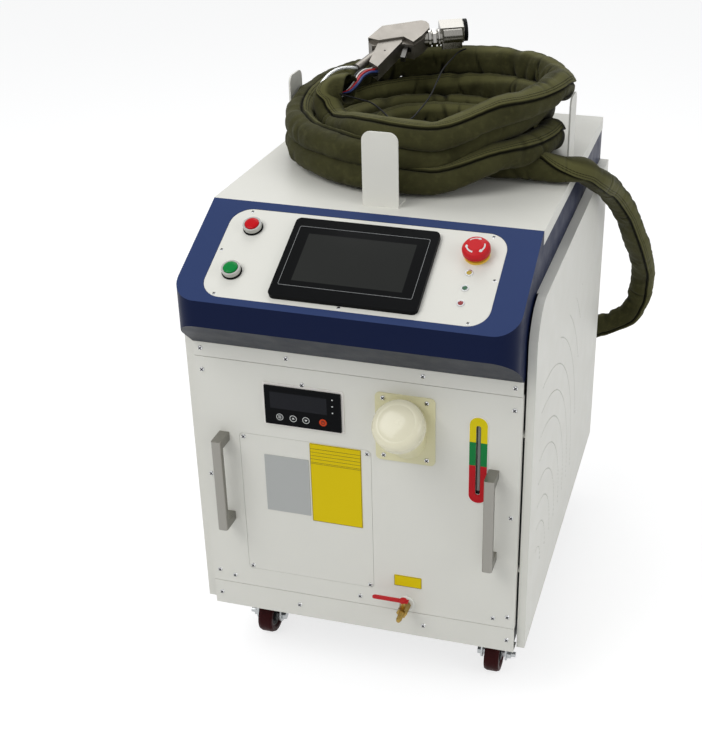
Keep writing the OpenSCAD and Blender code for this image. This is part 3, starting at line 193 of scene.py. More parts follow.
class Finish:
    """A node material with one principled shader. A plug is a number, a colour or another node's output."""

    def __init__(self, name):
        self.material = bpy.data.materials.new(name)
        self.material.use_nodes = True
        self.tree = self.material.node_tree
        self.tree.nodes.clear()
        self.out = self.tree.nodes.new("ShaderNodeOutputMaterial")
        self.shader = self.tree.nodes.new("ShaderNodeBsdfPrincipled")
        self.tree.links.new(self.shader.outputs[0], self.out.inputs["Surface"])
        self.place = self.tree.nodes.new("ShaderNodeTexCoord").outputs["Object"]

    def plug(self, node, key, value):
        socket = node.inputs[key]
        if isinstance(value, bpy.types.NodeSocket):
            self.tree.links.new(value, socket)
        elif socket.type == "RGBA":
            socket.default_value = (*value, 1.0)[:4]
        else:
            socket.default_value = value

    def add(self, kind, plugs, **settings):
        node = self.tree.nodes.new(kind)
        for key, value in settings.items():
            setattr(node, key, value)
        for key, value in plugs.items():
            self.plug(node, key, value)
        return node

    def set(self, **plugs):
        for key, value in plugs.items():
            self.plug(self.shader, key.replace("_", " "), value)

    def noise(self, scale, detail=3.0, rough=0.55, place=None):
        return self.add("ShaderNodeTexNoise", {
            "Vector": place or self.place, "Scale": scale, "Detail": detail, "Roughness": rough}).outputs[0]

    def math(self, operation, a, b=0.0):
        return self.add("ShaderNodeMath", {0: a, 1: b}, operation=operation).outputs[0]

    def product(self, first, *rest):
        """Two or more numbers multiplied."""
        for value in rest:
            first = self.math("MULTIPLY", first, value)
        return first

    def band(self, value, low, high, to_low=0.0, to_high=1.0):
        """A number carried evenly from one range to another, and held at its ends."""
        return self.add("ShaderNodeMapRange", {0: value, 1: low, 2: high, 3: to_low, 4: to_high}).outputs[0]

    def mottle(self, scale, low, high):
        """A number that drifts between low and high in patches."""
        return self.band(self.noise(scale), 0.3, 0.7, low, high)

    def blend(self, share, a, b):
        return self.add("ShaderNodeMix", {0: share, 6: a, 7: b}, data_type="RGBA").outputs[2]

    def relief(self, height, distance, strength=1.0, under=None):
        plugs = {"Height": height, "Distance": distance, "Strength": strength}
        if under is not None:
            plugs["Normal"] = under
        return self.add("ShaderNodeBump", plugs).outputs[0]

    def peel(self, scale, distance, detail=2.0):
        """Fine even relief, as of orange peel."""
        return self.relief(self.noise(scale, detail), distance)

    def axis(self, which, place=None):
        return self.add("ShaderNodeSeparateXYZ", {0: place or self.place}).outputs["XYZ".index(which)]

    def above(self, value, limit):
        return self.math("GREATER_THAN", value, limit)


def shade(base, factor):
    """A colour made lighter or darker by a factor."""
    return tuple(min(1.0, c * factor) for c in base)


def coated(name, base, rough=0.38, grain=900.0, depth=0.00006, spread=0.05, patch=5.0, coat=0.0, shine=0.3):
    """Painted or moulded surface: the colour drifts by spread over patches, with orange peel from fine
    noise."""
    f = Finish(name)
    f.set(
        Base_Color=f.blend(f.noise(patch, 4.0), shade(base, 1 - spread), shade(base, 1 + spread)),
        Roughness=f.mottle(patch * 7, rough * 0.85, rough * 1.18),
        Normal=f.peel(grain, depth), Specular_IOR_Level=shine)
    if coat:
        f.set(Coat_Weight=coat, Coat_Roughness=0.06)
    return f.material


def metal(name, base, rough=0.25, stretch=(1, 1, 1), grain=700.0, depth=0.00004, spread=0.06):
    """Bare metal: noise drawn out along one axis gives the brushing, and a coarse one the handling marks."""
    f = Finish(name)
    drawn_out = f.add("ShaderNodeMapping", {"Vector": f.place, "Scale": stretch}).outputs[0]
    lines = f.noise(grain, 3.0, place=drawn_out)
    marks = f.noise(25.0, 4.0)
    f.set(
        Base_Color=f.blend(marks, shade(base, 1 - spread), shade(base, 1 + spread)),
        Metallic=1.0,
        Roughness=f.band(f.math("ADD", lines, marks), 0.7, 1.3, rough * 0.75, rough * 1.3),
        Normal=f.relief(lines, depth))
    return f.material


def dress(names, material):
    """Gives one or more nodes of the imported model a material."""
    for name in names.split():
        mesh = nodes[name].data
        mesh.materials.clear()
        mesh.materials.append(material)


# Meshes

def strips(rows, cols):
    """Quads between neighbouring rows of a grid, each row closed into a ring."""
    a, b = (k.ravel() for k in np.meshgrid(np.arange(rows - 1), np.arange(cols), indexing="ij"))
    c = (b + 1) % cols
    return np.stack([a * cols + b, a * cols + c, (a + 1) * cols + c, (a + 1) * cols + b], 1)


def piece(name, points, faces, material, body=CABINET, smooth=True, uv=None, values=None):
    """A mesh object at the origin, from points in metres and faces as lists of point numbers, riding on a
    body."""
    mesh = bpy.data.meshes.new(name)
    points = np.asarray(points, float).reshape(-1, 3)
    mesh.from_pydata(points.tolist(), [], [[int(k) for k in face] for face in faces])
    mesh.polygons.foreach_set("use_smooth", [smooth] * len(mesh.polygons))
    if uv is not None:
        layer = mesh.uv_layers.new(name="along_round")
        layer.data.foreach_set("uv", np.asarray(uv, np.float32).ravel())
    for key, numbers in (values or {}).items():
        layer = mesh.attributes.new(key, "FLOAT", "POINT")
        layer.data.foreach_set("value", np.asarray(numbers, np.float32).ravel())
    mesh.materials.append(material)
    mesh.validate()
    mesh.update()
    made = bpy.data.objects.new(name, mesh)
    bpy.context.scene.collection.objects.link(made)
    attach(made, body)
    return made


def joined(*meshes):
    """Several meshes as one, from pairs of points and faces."""
    points, faces, at = [], [], 0
    for some, more in meshes:
        points.append(some)
        faces += [[at + k for k in face] for face in more]
        at += len(some)
    return np.concatenate(points), faces


def shells(parts):
    """Closed solids as one mesh: each part is a grid of rings, and its first and last ring are capped."""
    meshes = []
    for grid in parts:
        rows, cols = grid.shape[:2]
        caps = [list(range(cols - 1, -1, -1)), list(range((rows - 1) * cols, rows * cols))]
        meshes.append((grid.reshape(-1, 3), strips(rows, cols).tolist() + caps))
    return joined(*meshes)


def rings(grid):
    """A closed band: each row of the grid is a cross-section, and the last row meets the first."""
    rows, cols = grid.shape[:2]
    a, b = (k.ravel() for k in np.meshgrid(np.arange(rows), np.arange(cols), indexing="ij"))
    c, d = (a + 1) % rows, (b + 1) % cols
    return grid.reshape(-1, 3), np.stack([a * cols + b, c * cols + b, c * cols + d, a * cols + d], 1).tolist()


class Place:
    """A frame on the machine: an origin and three axes. at(points) gives points of the machine, in metres."""

    def __init__(self, origin, x, y, z):
        self.origin, self.axes = np.array(origin, float), np.array([x, y, z], float)

    def at(self, points):
        return self.origin + np.asarray(points, float) @ self.axes

    def moved(self, x, y, z=0.0):
        return Place(self.at([x, y, z]), *self.axes)


def from_front(points):
    """Points measured in millimetres from the front panel's face and the floor, as metres in the machine's
    frame."""
    return np.array(points, float) / 1000 + np.array([0, FRONT_Y, 0])


def front_place(x, z, out=0.0):
    """On the front panel: x across, y up, z out of the panel, from a point given across, up and out."""
    return Place((x, FRONT_Y - out, z), (1, 0, 0), (0, 0, 1), (0, -1, 0))


def face_place(x, s, n):
    """On the console's sloping face: x across, y up the slope, z out of it, from millimetres across, up and
    out."""
    rise, run = math.sin(CONSOLE_TILT), math.cos(CONSOLE_TILT)
    low = Place((0, FRONT_Y - CONSOLE_OUT, CONSOLE_LOW), (1, 0, 0), (0, run, rise), (0, -rise, run))
    return low.moved(x / 1000, s / 1000, n / 1000)


def console_height(s):
    """Height of a point s millimetres up the console's slope."""
    return CONSOLE_LOW + s / 1000 * math.sin(CONSOLE_TILT)


def circle(sides):
    """Cosines and sines of angles spread evenly round."""
    a = np.linspace(0, 2 * np.pi, sides, endpoint=False)
    return np.cos(a), np.sin(a)


def turned(profile, place, sides=48):
    """A profile of radius and height turned about the place's z axis: (r cos a, r sin a, h)."""
    x, y = circle(sides)
    r, h = np.array(profile, float).T
    return place.at(np.stack([r[:, None] * x, r[:, None] * y, h[:, None] + 0 * x], 2))


def circle_band(place, outer, inner, thick, sides=40):
    """A flat ring: four corners of its section turned about the place's z axis."""
    corners = ((outer, 0), (outer, thick), (inner, thick), (inner, 0))
    return rings(turned(corners, place, sides).transpose(1, 0, 2))


def rounded(width, height, radius, steps=6):
    """Outline of a rectangle with quarter-circle corners, about its middle."""
    a = np.linspace(0, np.pi / 2, steps)
    corner = np.stack([np.cos(a), np.sin(a)], 1) * radius
    quarter = np.array([[0, 1], [-1, 0]])
    x, y = width / 2 - radius, height / 2 - radius
    return np.concatenate([
        corner @ np.linalg.matrix_power(quarter, k) + (across * x, up * y)
        for k, (across, up) in enumerate(((1, 1), (-1, 1), (-1, -1), (1, -1)))])


def slab(place, width, height, radius, thick, edge, steps=6):
    """A rounded rectangle carried out through rings: full size up to the edge, then drawn in round a
    quarter circle."""
    grid, t = [], np.linspace(0, np.pi / 2, 4)
    for inset, h in zip([0.0, *edge * (1 - np.cos(t))], [0.0, *thick - edge + edge * np.sin(t)]):
        line = rounded(width - 2 * inset, height - 2 * inset, max(radius - inset, radius * 0.2), steps)
        grid.append(np.column_stack([line, np.full(len(line), h)]))
    return place.at(np.array(grid))


def outline(place, width, height, radius, line, thick):
    """A flat band round a rounded rectangle: its outline and the same drawn in by the line's width, low and
    high."""
    outer, inner = rounded(width, height, radius), rounded(width - 2 * line, height - 2 * line, radius - line)
    low, high = np.zeros(len(outer)), np.full(len(outer), thick)
    corners = ((outer, low), (outer, high), (inner, high), (inner, low))
    return rings(place.at(np.stack([np.column_stack(pair) for pair in corners], 1)))


def bar(place, width, height, thick=0.0002):
    """A thin plain bar, as a slab with small corners."""
    return slab(place, width, height, 0.0001, thick, 0.00005, 3)


def wedge(place, points, thick=0.0002):
    """A flat shape from its corners, counter-clockwise: the corners low and high."""
    return place.at(np.stack([np.column_stack([points, np.full(len(points), h)]) for h in (0, thick)]))


# Lines

def distances(line):
    """Distance along a line to each of its points."""
    return np.concatenate([[0], np.cumsum(np.linalg.norm(np.diff(line, axis=0), axis=1))])


def tangents(line):
    """Directions along a line: the differences between its points, each made one long."""
    t = np.gradient(line, axis=0)
    return t / np.linalg.norm(t, axis=1)[:, None]


def frames_along(line, up):
    """Tangent, side and up at each point of a line, square to each other, from an up for each point or
    from one for the first, which is then carried along."""
    t = tangents(line)
    v = np.array(up, float)
    if v.ndim == 1:
        rows = [v - t[0] * (v @ t[0])]
        for k in range(1, len(line)):
            w = rows[-1] - t[k] * (rows[-1] @ t[k])
            rows.append(w / np.linalg.norm(w))
        v = np.array(rows)
    v = v - t * np.sum(v * t, 1)[:, None]
    v /= np.linalg.norm(v, axis=1)[:, None]
    return t, np.cross(v, t), v


def spline(points, step):
    """A smooth line through points: cubic pieces with slopes from both neighbours, sampled evenly at about
    step."""
    p = np.array(points, float)
    t = distances(p)
    slope = np.gradient(p, t, axis=0, edge_order=2)
    s = np.linspace(0, t[-1], int(t[-1] / step * 2) + 2)
    k = np.clip(np.searchsorted(t, s, "right") - 1, 0, len(t) - 2)
    h = (t[k + 1] - t[k])[:, None]
    q = ((s - t[k]) / (t[k + 1] - t[k]))[:, None]
    line = ((2 * q**3 - 3 * q**2 + 1) * p[k] + (q**3 - 2 * q**2 + q) * h * slope[k]
            + (3 * q**2 - 2 * q**3) * p[k + 1] + (q**3 - q**2) * h * slope[k + 1])
    return even(line, step)


def even(line, step):
    """The same line with its points an equal distance apart, about step."""
    t = distances(line)
    s = np.linspace(0, t[-1], max(4, int(round(t[-1] / step)) + 1))
    return np.stack([np.interp(s, t, line[:, k]) for k in range(3)], 1)


def wire(name, points, radius, material):
    """A round lead along a smooth line, as a free cord: its rings are line + r (cos a side + sin a up)."""
    line = spline(points, 0.004)
    _, side, up = frames_along(line, (0.1, 0.2, 1.0))
    x, y = (k[None, :, None] for k in circle(10))
    grid = line[:, None] + radius * (x * side[:, None] + y * up[:, None])
    made = piece(name, *shells([grid[:, ::-1]]), material)
    return made


# Stage

class WELDER_OT_studio(bpy.types.Operator):
    """Camera at the photograph's angle, soft lamps, and a plain pale floor"""
    bl_idname = "welder.studio"
    bl_label = "Studio"

    def execute(self, context):
        scene = context.scene
        scene.view_settings.view_transform = "Standard"
        self.camera(scene)
        self.lamps(scene)
        self.world(scene)
        self.floor(scene)
        return {"FINISHED"}

    def camera(self, scene):
        """The shift brings the point straight ahead to its own place in the picture."""
        data = bpy.data.cameras.new("camera")
        data.sensor_fit, data.sensor_width = "HORIZONTAL", SENSOR
        data.lens = FOCAL / PICTURE[0] * SENSOR
        data.shift_x = (PICTURE[0] / 2 - STRAIGHT_AHEAD[0]) / PICTURE[0]
        data.shift_y = (STRAIGHT_AHEAD[1] - PICTURE[1] / 2) / PICTURE[0]
        camera = bpy.data.objects.new("camera", data)
        turn = Matrix((RIGHT, [-x for x in DOWN], [-x for x in AHEAD])).transposed()
        camera.matrix_world = Matrix.Translation(from_front(EYE)) @ turn.to_4x4()
        scene.collection.objects.link(camera)
        scene.camera = camera

    def lamps(self, scene):
        """Three large soft panels: one high on the left in front, one on the right, one behind above."""
        for name, at, aim, size, power in (
                ("key_panel", (-1.5, -2.2, 3.3), (0, -0.1, 0.7), 2.2, 58),
                ("right_panel", (2.9, -1.0, 1.9), (0, 0, 0.6), 1.8, 18),
                ("back_panel", (-0.4, 1.6, 3.6), (0, 0.1, 0.8), 2.0, 34)):
            lamp = bpy.data.lights.new(name, "AREA")
            lamp.size, lamp.energy = size, power
            made = bpy.data.objects.new(name, lamp)
            turn = (Vector(at) - Vector(aim)).to_track_quat("Z", "Y").to_matrix()
            made.matrix_world = Matrix.Translation(at) @ turn.to_4x4()
            scene.collection.objects.link(made)

    def seen(self, tree):
        """One for rays from the camera, off a shiny surface and through a clear one, where the backdrop
        shows."""
        rays = tree.nodes.new("ShaderNodeLightPath").outputs
        share = rays["Is Camera Ray"]
        for kind in ("Is Glossy Ray", "Is Transmission Ray"):
            most = tree.nodes.new("ShaderNodeMath")
            most.operation = "MAXIMUM"
            tree.links.new(share, most.inputs[0])
            tree.links.new(rays[kind], most.inputs[1])
            share = most.outputs[0]
        return share

    def world(self, scene):
        """Soft light from all round; the camera, mirrors and glass see plain white."""
        world = bpy.data.worlds.new("studio")
        world.use_nodes = True
        tree = world.node_tree
        tree.nodes.clear()
        mix = tree.nodes.new("ShaderNodeMixShader")
        tree.links.new(self.seen(tree), mix.inputs[0])
        for slot, light, strength in ((1, (0.96, 0.98, 1.0, 1), 0.44), (2, (1, 1, 1, 1), 1.0)):
            sky = tree.nodes.new("ShaderNodeBackground")
            sky.inputs["Color"].default_value, sky.inputs["Strength"].default_value = light, strength
            tree.links.new(sky.outputs[0], mix.inputs[slot])
        out = tree.nodes.new("ShaderNodeOutputWorld")
        tree.links.new(mix.outputs[0], out.inputs["Surface"])
        scene.world = world

    def floor(self, scene):
        """A wide pale floor that keeps the machine's shadow."""
        f = Finish("studio_floor")
        f.set(Base_Color=tint("f4f4f4"), Roughness=0.9)
        glow = f.add("ShaderNodeEmission", {"Color": (1, 1, 1), "Strength": 0.74})
        dull = f.add("ShaderNodeBsdfDiffuse", {"Color": (0.42, 0.42, 0.42)})
        both = f.add("ShaderNodeAddShader", {0: glow.outputs[0], 1: dull.outputs[0]})
        mix = f.add("ShaderNodeMixShader", {0: self.seen(f.tree), 1: f.shader.outputs[0], 2: both.outputs[0]})
        f.tree.links.new(mix.outputs[0], f.out.inputs["Surface"])
        mesh = bpy.data.meshes.new("floor")
        mesh.from_pydata([(-30, -30, 0), (30, -30, 0), (30, 30, 0), (-30, 30, 0)], [], [(0, 1, 2, 3)])
        mesh.materials.append(f.material)
        made = bpy.data.objects.new("floor", mesh)
        scene.collection.objects.link(made)


# Sleeved hose

def smooth(t):
    """0 below 0, 1 above 1, and 3 t^2 - 2 t^3 between."""
    c = np.clip(t, 0, 1)
    return c * c * (3 - 2 * c)


def loop_line(u):
    """Middle of the coiled hose after u turns, in millimetres from the front. The height climbs one pitch a
    turn, swells at the back by sin^2 of the way round, lifts at the right where a loop crosses the one
    below, and falls by the mouth's share cubed. The radius grows and is drawn in as the values at the top
    say, at the sides by cos^8 of the angle."""
    f = (u - CLIMB_FROM) - np.floor(u - CLIMB_FROM)
    g = u - np.floor(u - 0.5)
    slack = np.sin(np.pi * f**1.3) ** 2
    crossing = smooth((g - CROSS_FROM + CROSS_RAMP) / CROSS_RAMP) * (1 - smooth((g - CROSS_TO) / CROSS_RAMP))
    mouth = smooth((u - MOUTH_FROM) / MOUTH_RAMP)
    rise = np.maximum(0, u - CLIMB_FROM)
    a = np.radians(COIL_ANGLE - 360 * u)
    outer, right = smooth((u - OUTER_FROM) / OUTER_RAMP), 1 - smooth(abs(u - RIGHT_AT) / RIGHT_RAMP)
    r = (COIL_RADIUS - GROW_INNER * np.clip(-u, 0, INNER_TURNS) + GROW_OUTER * outer
         - DRAW_RIGHT * right - DRAW_MOUTH * mouth - DRAW_SIDES * np.cos(a)**8)
    z = (1000 * COVER_Z + FOOT + PITCH * rise + SWELL * np.minimum(SWELL_HOLD, rise) * slack
         + CROSS_LIFT * crossing - MOUTH_FALL * mouth**3)
    return np.stack([r * np.cos(a), COIL_Y + r * np.sin(a), z], 1)


def sleeve_route(step):
    """From the gland up to the cover's edge, in under the loops, round the coil and out to the open mouth.
    The way in under the loops is (1 - t)^2 edge + 2 t (1 - t) bend + t^2 first loop, and its height is the
    first loop's from t = 0.3 on. Returns the line, the turns made at each of its points, and the number of
    the point at the cover's edge."""
    loops = loop_line(np.arange(COIL_FROM, COIL_TO + 0.0001, COIL_STEP))
    t = np.arange(1, 10)[:, None] / 10
    edge, bend = np.array(DROP_ROUTE[-1]), np.array([67.6, 328, 0])
    lead = (1 - t)**2 * edge + 2 * t * (1 - t) * bend + t**2 * loops[0]
    lead[:, 2] = np.interp(t[:, 0], [0, 0.3], [edge[2], loops[0, 2]])
    tip = spline(np.concatenate([loops[-1:], MOUTH_ROUTE]), 2.0)[1:]
    drop = spline(np.concatenate([DROP_ROUTE, lead, loops[:9:4]]), 2.0)
    join = np.argmin(np.linalg.norm(drop - loops[4], axis=1))
    line = even(np.concatenate([drop[:join], loops[4:], tip]), step * 1000)
    turn = np.unwrap(np.arctan2(line[:, 1] - COIL_Y, line[:, 0]))
    turns = -(turn - turn[-1]) / (2 * np.pi) + FLAP_TURNS[-1]
    cut = int(np.argmin(np.linalg.norm(line - edge, axis=1)))
    hung = slice(0, cut + 60)
    turns[hung] = np.minimum(turns[hung], FLAP_TURNS[0])
    return from_front(line), turns, cut


def sleeve_waves(along, around, rng, count, low, high):
    """Soft lumps: sines of random length, slant and phase, summed over the length and the way round."""
    total = np.zeros((len(along), len(around)))
    for _ in range(count):
        wave = rng.uniform(low, high)
        turns = rng.integers(0, 4)
        total += np.sin(2 * np.pi * along[:, None] / wave + turns * around[None] + rng.uniform(0, 2 * np.pi))
    return total / math.sqrt(count)


def sleeve_folds(along, around, strength, rng, a_metre, narrow, wide):
    """Creases across the sleeve: each is a trough with a raised bank on both sides, over part of the way
    round. With e = (distance along + slant x angle) / width, the depth is (1 - 0.9 e^2) exp(-e^2 / 2)."""
    total = np.zeros((len(along), len(around)))
    step = along[1] - along[0]
    for _ in range(int(along[-1] * a_metre)):
        middle, width = rng.uniform(0, along[-1]), rng.uniform(narrow, wide)
        k = int(middle / step)
        reach = int(5 * width / step) + 14
        rows = slice(max(0, k - reach), min(len(along), k + reach))
        turn = (around[None] - FOLD_SIDE - rng.normal(0, 1.3) + np.pi) % (2 * np.pi) - np.pi
        e = (along[rows, None] - middle + rng.uniform(-0.014, 0.014) * turn) / width
        depth = rng.uniform(0.35, 1.0) * strength[min(k, len(strength) - 1)]
        part = np.exp(-(turn / rng.uniform(0.5, 1.3))**2)
        total[rows] += depth * (1 - 0.9 * e**2) * np.exp(-e**2 / 2) * part
    return total


def sleeve_surface(sizes, line, up, columns, widths, heights, edge, strength, rng):
    """The sleeve's outside: an oval |x/a|^n + |y/b|^n = 1 round the line, with a closing flap that stands
    off it from its free edge on, a shadow gap under that edge, lumps, broad puckers and folds. Returns
    points, the painted shade in the folds, the puckers and that gap, and the way round."""
    along = distances(line)
    _, side, up = frames_along(line, up)
    angle = edge[:, None] + columns[None]
    a, b, n = widths[:, None] / 2, heights[:, None] / 2, OVAL_POWER
    r = (np.abs(np.cos(angle) / a)**n + np.abs(np.sin(angle) / b)**n) ** (-1 / n)
    arc = np.degrees(columns)
    flap = 1 - smooth((arc - FLAP_ENDS) / FLAP_RAMP)
    gap = np.where(arc < 180, 0, np.exp(-((arc - GAP_AT) / GAP_WIDTH)**2))
    folds = sleeve_folds(along, columns, strength, rng, *FOLDS)
    puckers = sleeve_folds(along, columns, strength**2, rng, *PUCKERS)
    lumps = sleeve_waves(along, columns, rng, *LUMPS)
    quilt = sleeve_waves(along, columns, rng, *QUILT)
    deep = sizes.fold_depth * (folds * (1 - 0.35 * flap[None]) + 1.1 * puckers)
    soft = 0.0010 * lumps + 0.00028 * quilt * (0.3 + strength[:, None])
    r = r + sizes.flap_lift * (flap - 1.2 * gap)[None] - deep + soft
    r = np.clip(r, SLEEVE_LEAST, SLEEVE_MOST)
    points = line[:, None] + r[:, :, None] * (
        np.cos(angle)[:, :, None] * side[:, None] + np.sin(angle)[:, :, None] * up[:, None])
    # Painted shade: how far the canvas is darkened in the folds, the puckers and the gap under the flap's
    # edge
    painted_shade = np.clip(folds, 0, 1) + 0.6 * np.clip(puckers, 0, 1) + 1.3 * gap[None]
    return points, painted_shade, float(np.mean(r)) * columns


def sleeve_columns():
    """Angles round the sleeve from the flap's free edge: close together at the edge, even elsewhere."""
    first, last = [0, 2.5, 5.5, 10], [345, 350, 354, 357, 359.2]
    return np.radians(np.concatenate([first, np.linspace(15, 340, 58), last]))


def canvas(colours, sizes):
    """Waxed canvas: a weave and two rows of stitches from the way along and round, with painted shade in the
    folds, the puckers, the gap under the flap's edge and the mouth's lining, and paler along the flap."""
    f = Finish("waxed_canvas")
    uv = f.tree.nodes.new("ShaderNodeTexCoord").outputs["UV"]
    along, around = f.axis("X", uv), f.axis("Y", uv)
    painted_shade = f.add("ShaderNodeAttribute", {}, attribute_name="painted_shade").outputs["Fac"]
    base = tuple(colours.canvas)
    patches = f.blend(f.band(f.noise(16, 5.0, 0.6), 0.3, 0.7), shade(base, 0.7), shade(base, 1.3))
    worn = f.blend(f.band(f.noise(95, 3.0), 0.52, 0.75, 0.0, 0.45), patches, shade(base, 1.8))
    # Paler along the flap's strip, about 26 mm from its free edge
    flap = f.product(f.band(around, 0.0, 0.001), f.band(around, 0.026, 0.018), 0.75)
    # Painted shade: the canvas goes towards near black in the folds, the puckers, the gap under the flap's
    # edge and the mouth's lining
    dark = f.blend(f.band(painted_shade, 0.05, 0.8, 0.0, 0.9), f.blend(flap, worn, shade(base, 2.6)), shade(base, 0.1))
    dash = f.band(f.math("FRACT", f.math("DIVIDE", along, sizes.stitch)), 0.62, 0.72, 1.0, 0.0)
    rows = f.math("MAXIMUM", *(
        f.band(f.math("ABSOLUTE", f.math("SUBTRACT", around, at)), 0.0004, 0.0009, 1.0, 0.0)
        for at in (0.0042, 0.0078)))
    seam = f.product(f.math("MAXIMUM", f.product(rows, 0.45), f.product(rows, dash)), 0.75)
    f.set(Base_Color=f.blend(seam, dark, shade(base, 0.16)), Roughness=f.mottle(40, 0.62, 0.86),
          Sheen_Weight=0.04, Sheen_Roughness=0.5, Specular_IOR_Level=0.05)
    warp, weft = (f.math("SINE", f.product(way, 2 * np.pi / THREAD_PITCH)) for way in (along, around))
    weave = f.relief(f.product(warp, weft), 0.00010, 0.5)
    lint = f.relief(f.noise(260, 4.0, 0.7), 0.0006, 0.6, weave)
    f.set(Normal=f.relief(f.math("SUBTRACT", 0.0, rows), 0.0005, 0.9, lint))
    return f.material


class WELDER_OT_hose(bpy.types.Operator):
    """Sleeved hose from the rear gland over the cover's edge, coiled on the cover, with its flap and open
    end"""
    bl_idname = "welder.hose"
    bl_label = "Sleeved hose"

    def execute(self, context):
        sizes, colours = context.scene.welder_sizes, context.scene.welder_colours
        cloth = canvas(colours, sizes)
        rng = np.random.default_rng(7)
        line, turns, cut = sleeve_route(SLEEVE_STEP)
        along = distances(line)
        last = along[-1]
        up = np.tile([0.0, 0.0, 1.0], (len(line), 1))
        hung = slice(0, cut + 20)
        up[hung] = frames_along(line[hung][::-1], (0, 0, 1.0))[2][::-1]
        # Shares from 0 to 1: on the cover, at the mouth, at the back, at the sides, where the loops are slack
        lying = smooth((along - along[cut] + EDGE_BEFORE) / EDGE_RAMP)
        flare = smooth((along - last + FLARE_LENGTH) / FLARE_LENGTH)
        back = smooth((line[:, 1] - from_front([0, COIL_Y - 40, 0])[1]) / 0.18)
        ends = smooth((np.abs(line[:, 0]) - 0.12) / 0.1)
        full = np.maximum(back, 0.4 * ends) * lying * (turns > 0.3)
        neck = smooth(along / NECK_LENGTH)
        width = sizes.hanging_width + (sizes.sleeve_width - sizes.hanging_width) * lying
        height = HANGING_HEIGHT + (sizes.sleeve_height - HANGING_HEIGHT) * lying + SLACK_TALLER * full
        width = width * (NECK_WIDTH + (1 - NECK_WIDTH) * neck)
        height = height * (NECK_HEIGHT + (1 - NECK_HEIGHT) * neck)
        line[:, 2] += (height / 2 - LOOP_HALF) * lying - SLACK_LOWER * full
        width, height = width + FLARE_WIDER * flare, height + FLARE_TALLER * flare
        strength = 0.2 + 0.8 * np.maximum(back, 0.55 * ends) * lying + 0.55 * (1 - lying)
        strength = np.maximum(strength, 0.8 * flare)
        roll = np.interp(along, np.linspace(0, last, 30), rng.uniform(-7, 7, 30))
        edge = np.radians((np.interp(turns, FLAP_TURNS, FLAP_ROLL) + roll) * lying - 28 * (1 - lying))
        columns = sleeve_columns()
        points, painted_shade, girth = sleeve_surface(sizes, line, up, columns, width, height, edge, strength, rng)
        points = self.open_mouth(points, line, along, edge, columns)
        cuff = len(line) - CUFF_RINGS
        parts = (("hose_sleeve_hanging", slice(0, cut + 1)), ("hose_sleeve_coiled", slice(cut, cuff + 1)),
                 ("hose_mouth", slice(cuff, None)))
        hanging, coil, mouth = (
            self.tube(name, points[part], painted_shade[part], along[part], girth, cloth) for name, part in parts)
        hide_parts("hose_drop")
        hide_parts("hose_coil")
        return {"FINISHED"}

    def open_mouth(self, points, line, along, edge, columns):
        """The sleeve's edge is a little uneven: it runs on and stops short by the cosine of the way round,
        with three small ripples."""
        angle = edge[:, None] + columns[None]
        share = smooth((along - along[-1] + 0.04) / 0.04)[:, None]
        reach = share * (0.005 * np.cos(angle) + 0.002 * np.sin(3 * angle))
        return points + reach[:, :, None] * tangents(line)[:, None]

    def tube(self, name, points, painted_shade, along, girth, cloth):
        """One stretch of the sleeve as a mesh; at the mouth the wall turns in and runs back inside as a
        lining, which gets more painted shade than the outside."""
        if name == "hose_mouth":
            middle = points.mean(1, keepdims=True)
            points = np.concatenate([points, (middle + (points - middle) * 0.9)[::-1]])
            # The lining is darkened more than the outside: painted shade inside the mouth
            painted_shade = np.concatenate([painted_shade, painted_shade[::-1] + 0.25])
            along = np.concatenate([along, along[::-1] + 0.5])
        rows, cols = points.shape[:2]
        faces = strips(rows, cols)[:, ::-1]
        row, col = np.divmod(faces, cols)
        col[:, 1:3][col[:, 1:3] == 0] = cols
        uv = np.stack([along[row], np.append(girth, girth[-1] + girth[1])[col]], 2)
        ends = [list(range(cols)), list(range(rows * cols - 1, (rows - 1) * cols - 1, -1))]
        uv = np.concatenate([uv.reshape(-1, 2), np.full((2 * cols, 2), 0.2)])
        return piece(name, points, faces.tolist() + ends, cloth, uv=uv, values={"painted_shade": painted_shade})


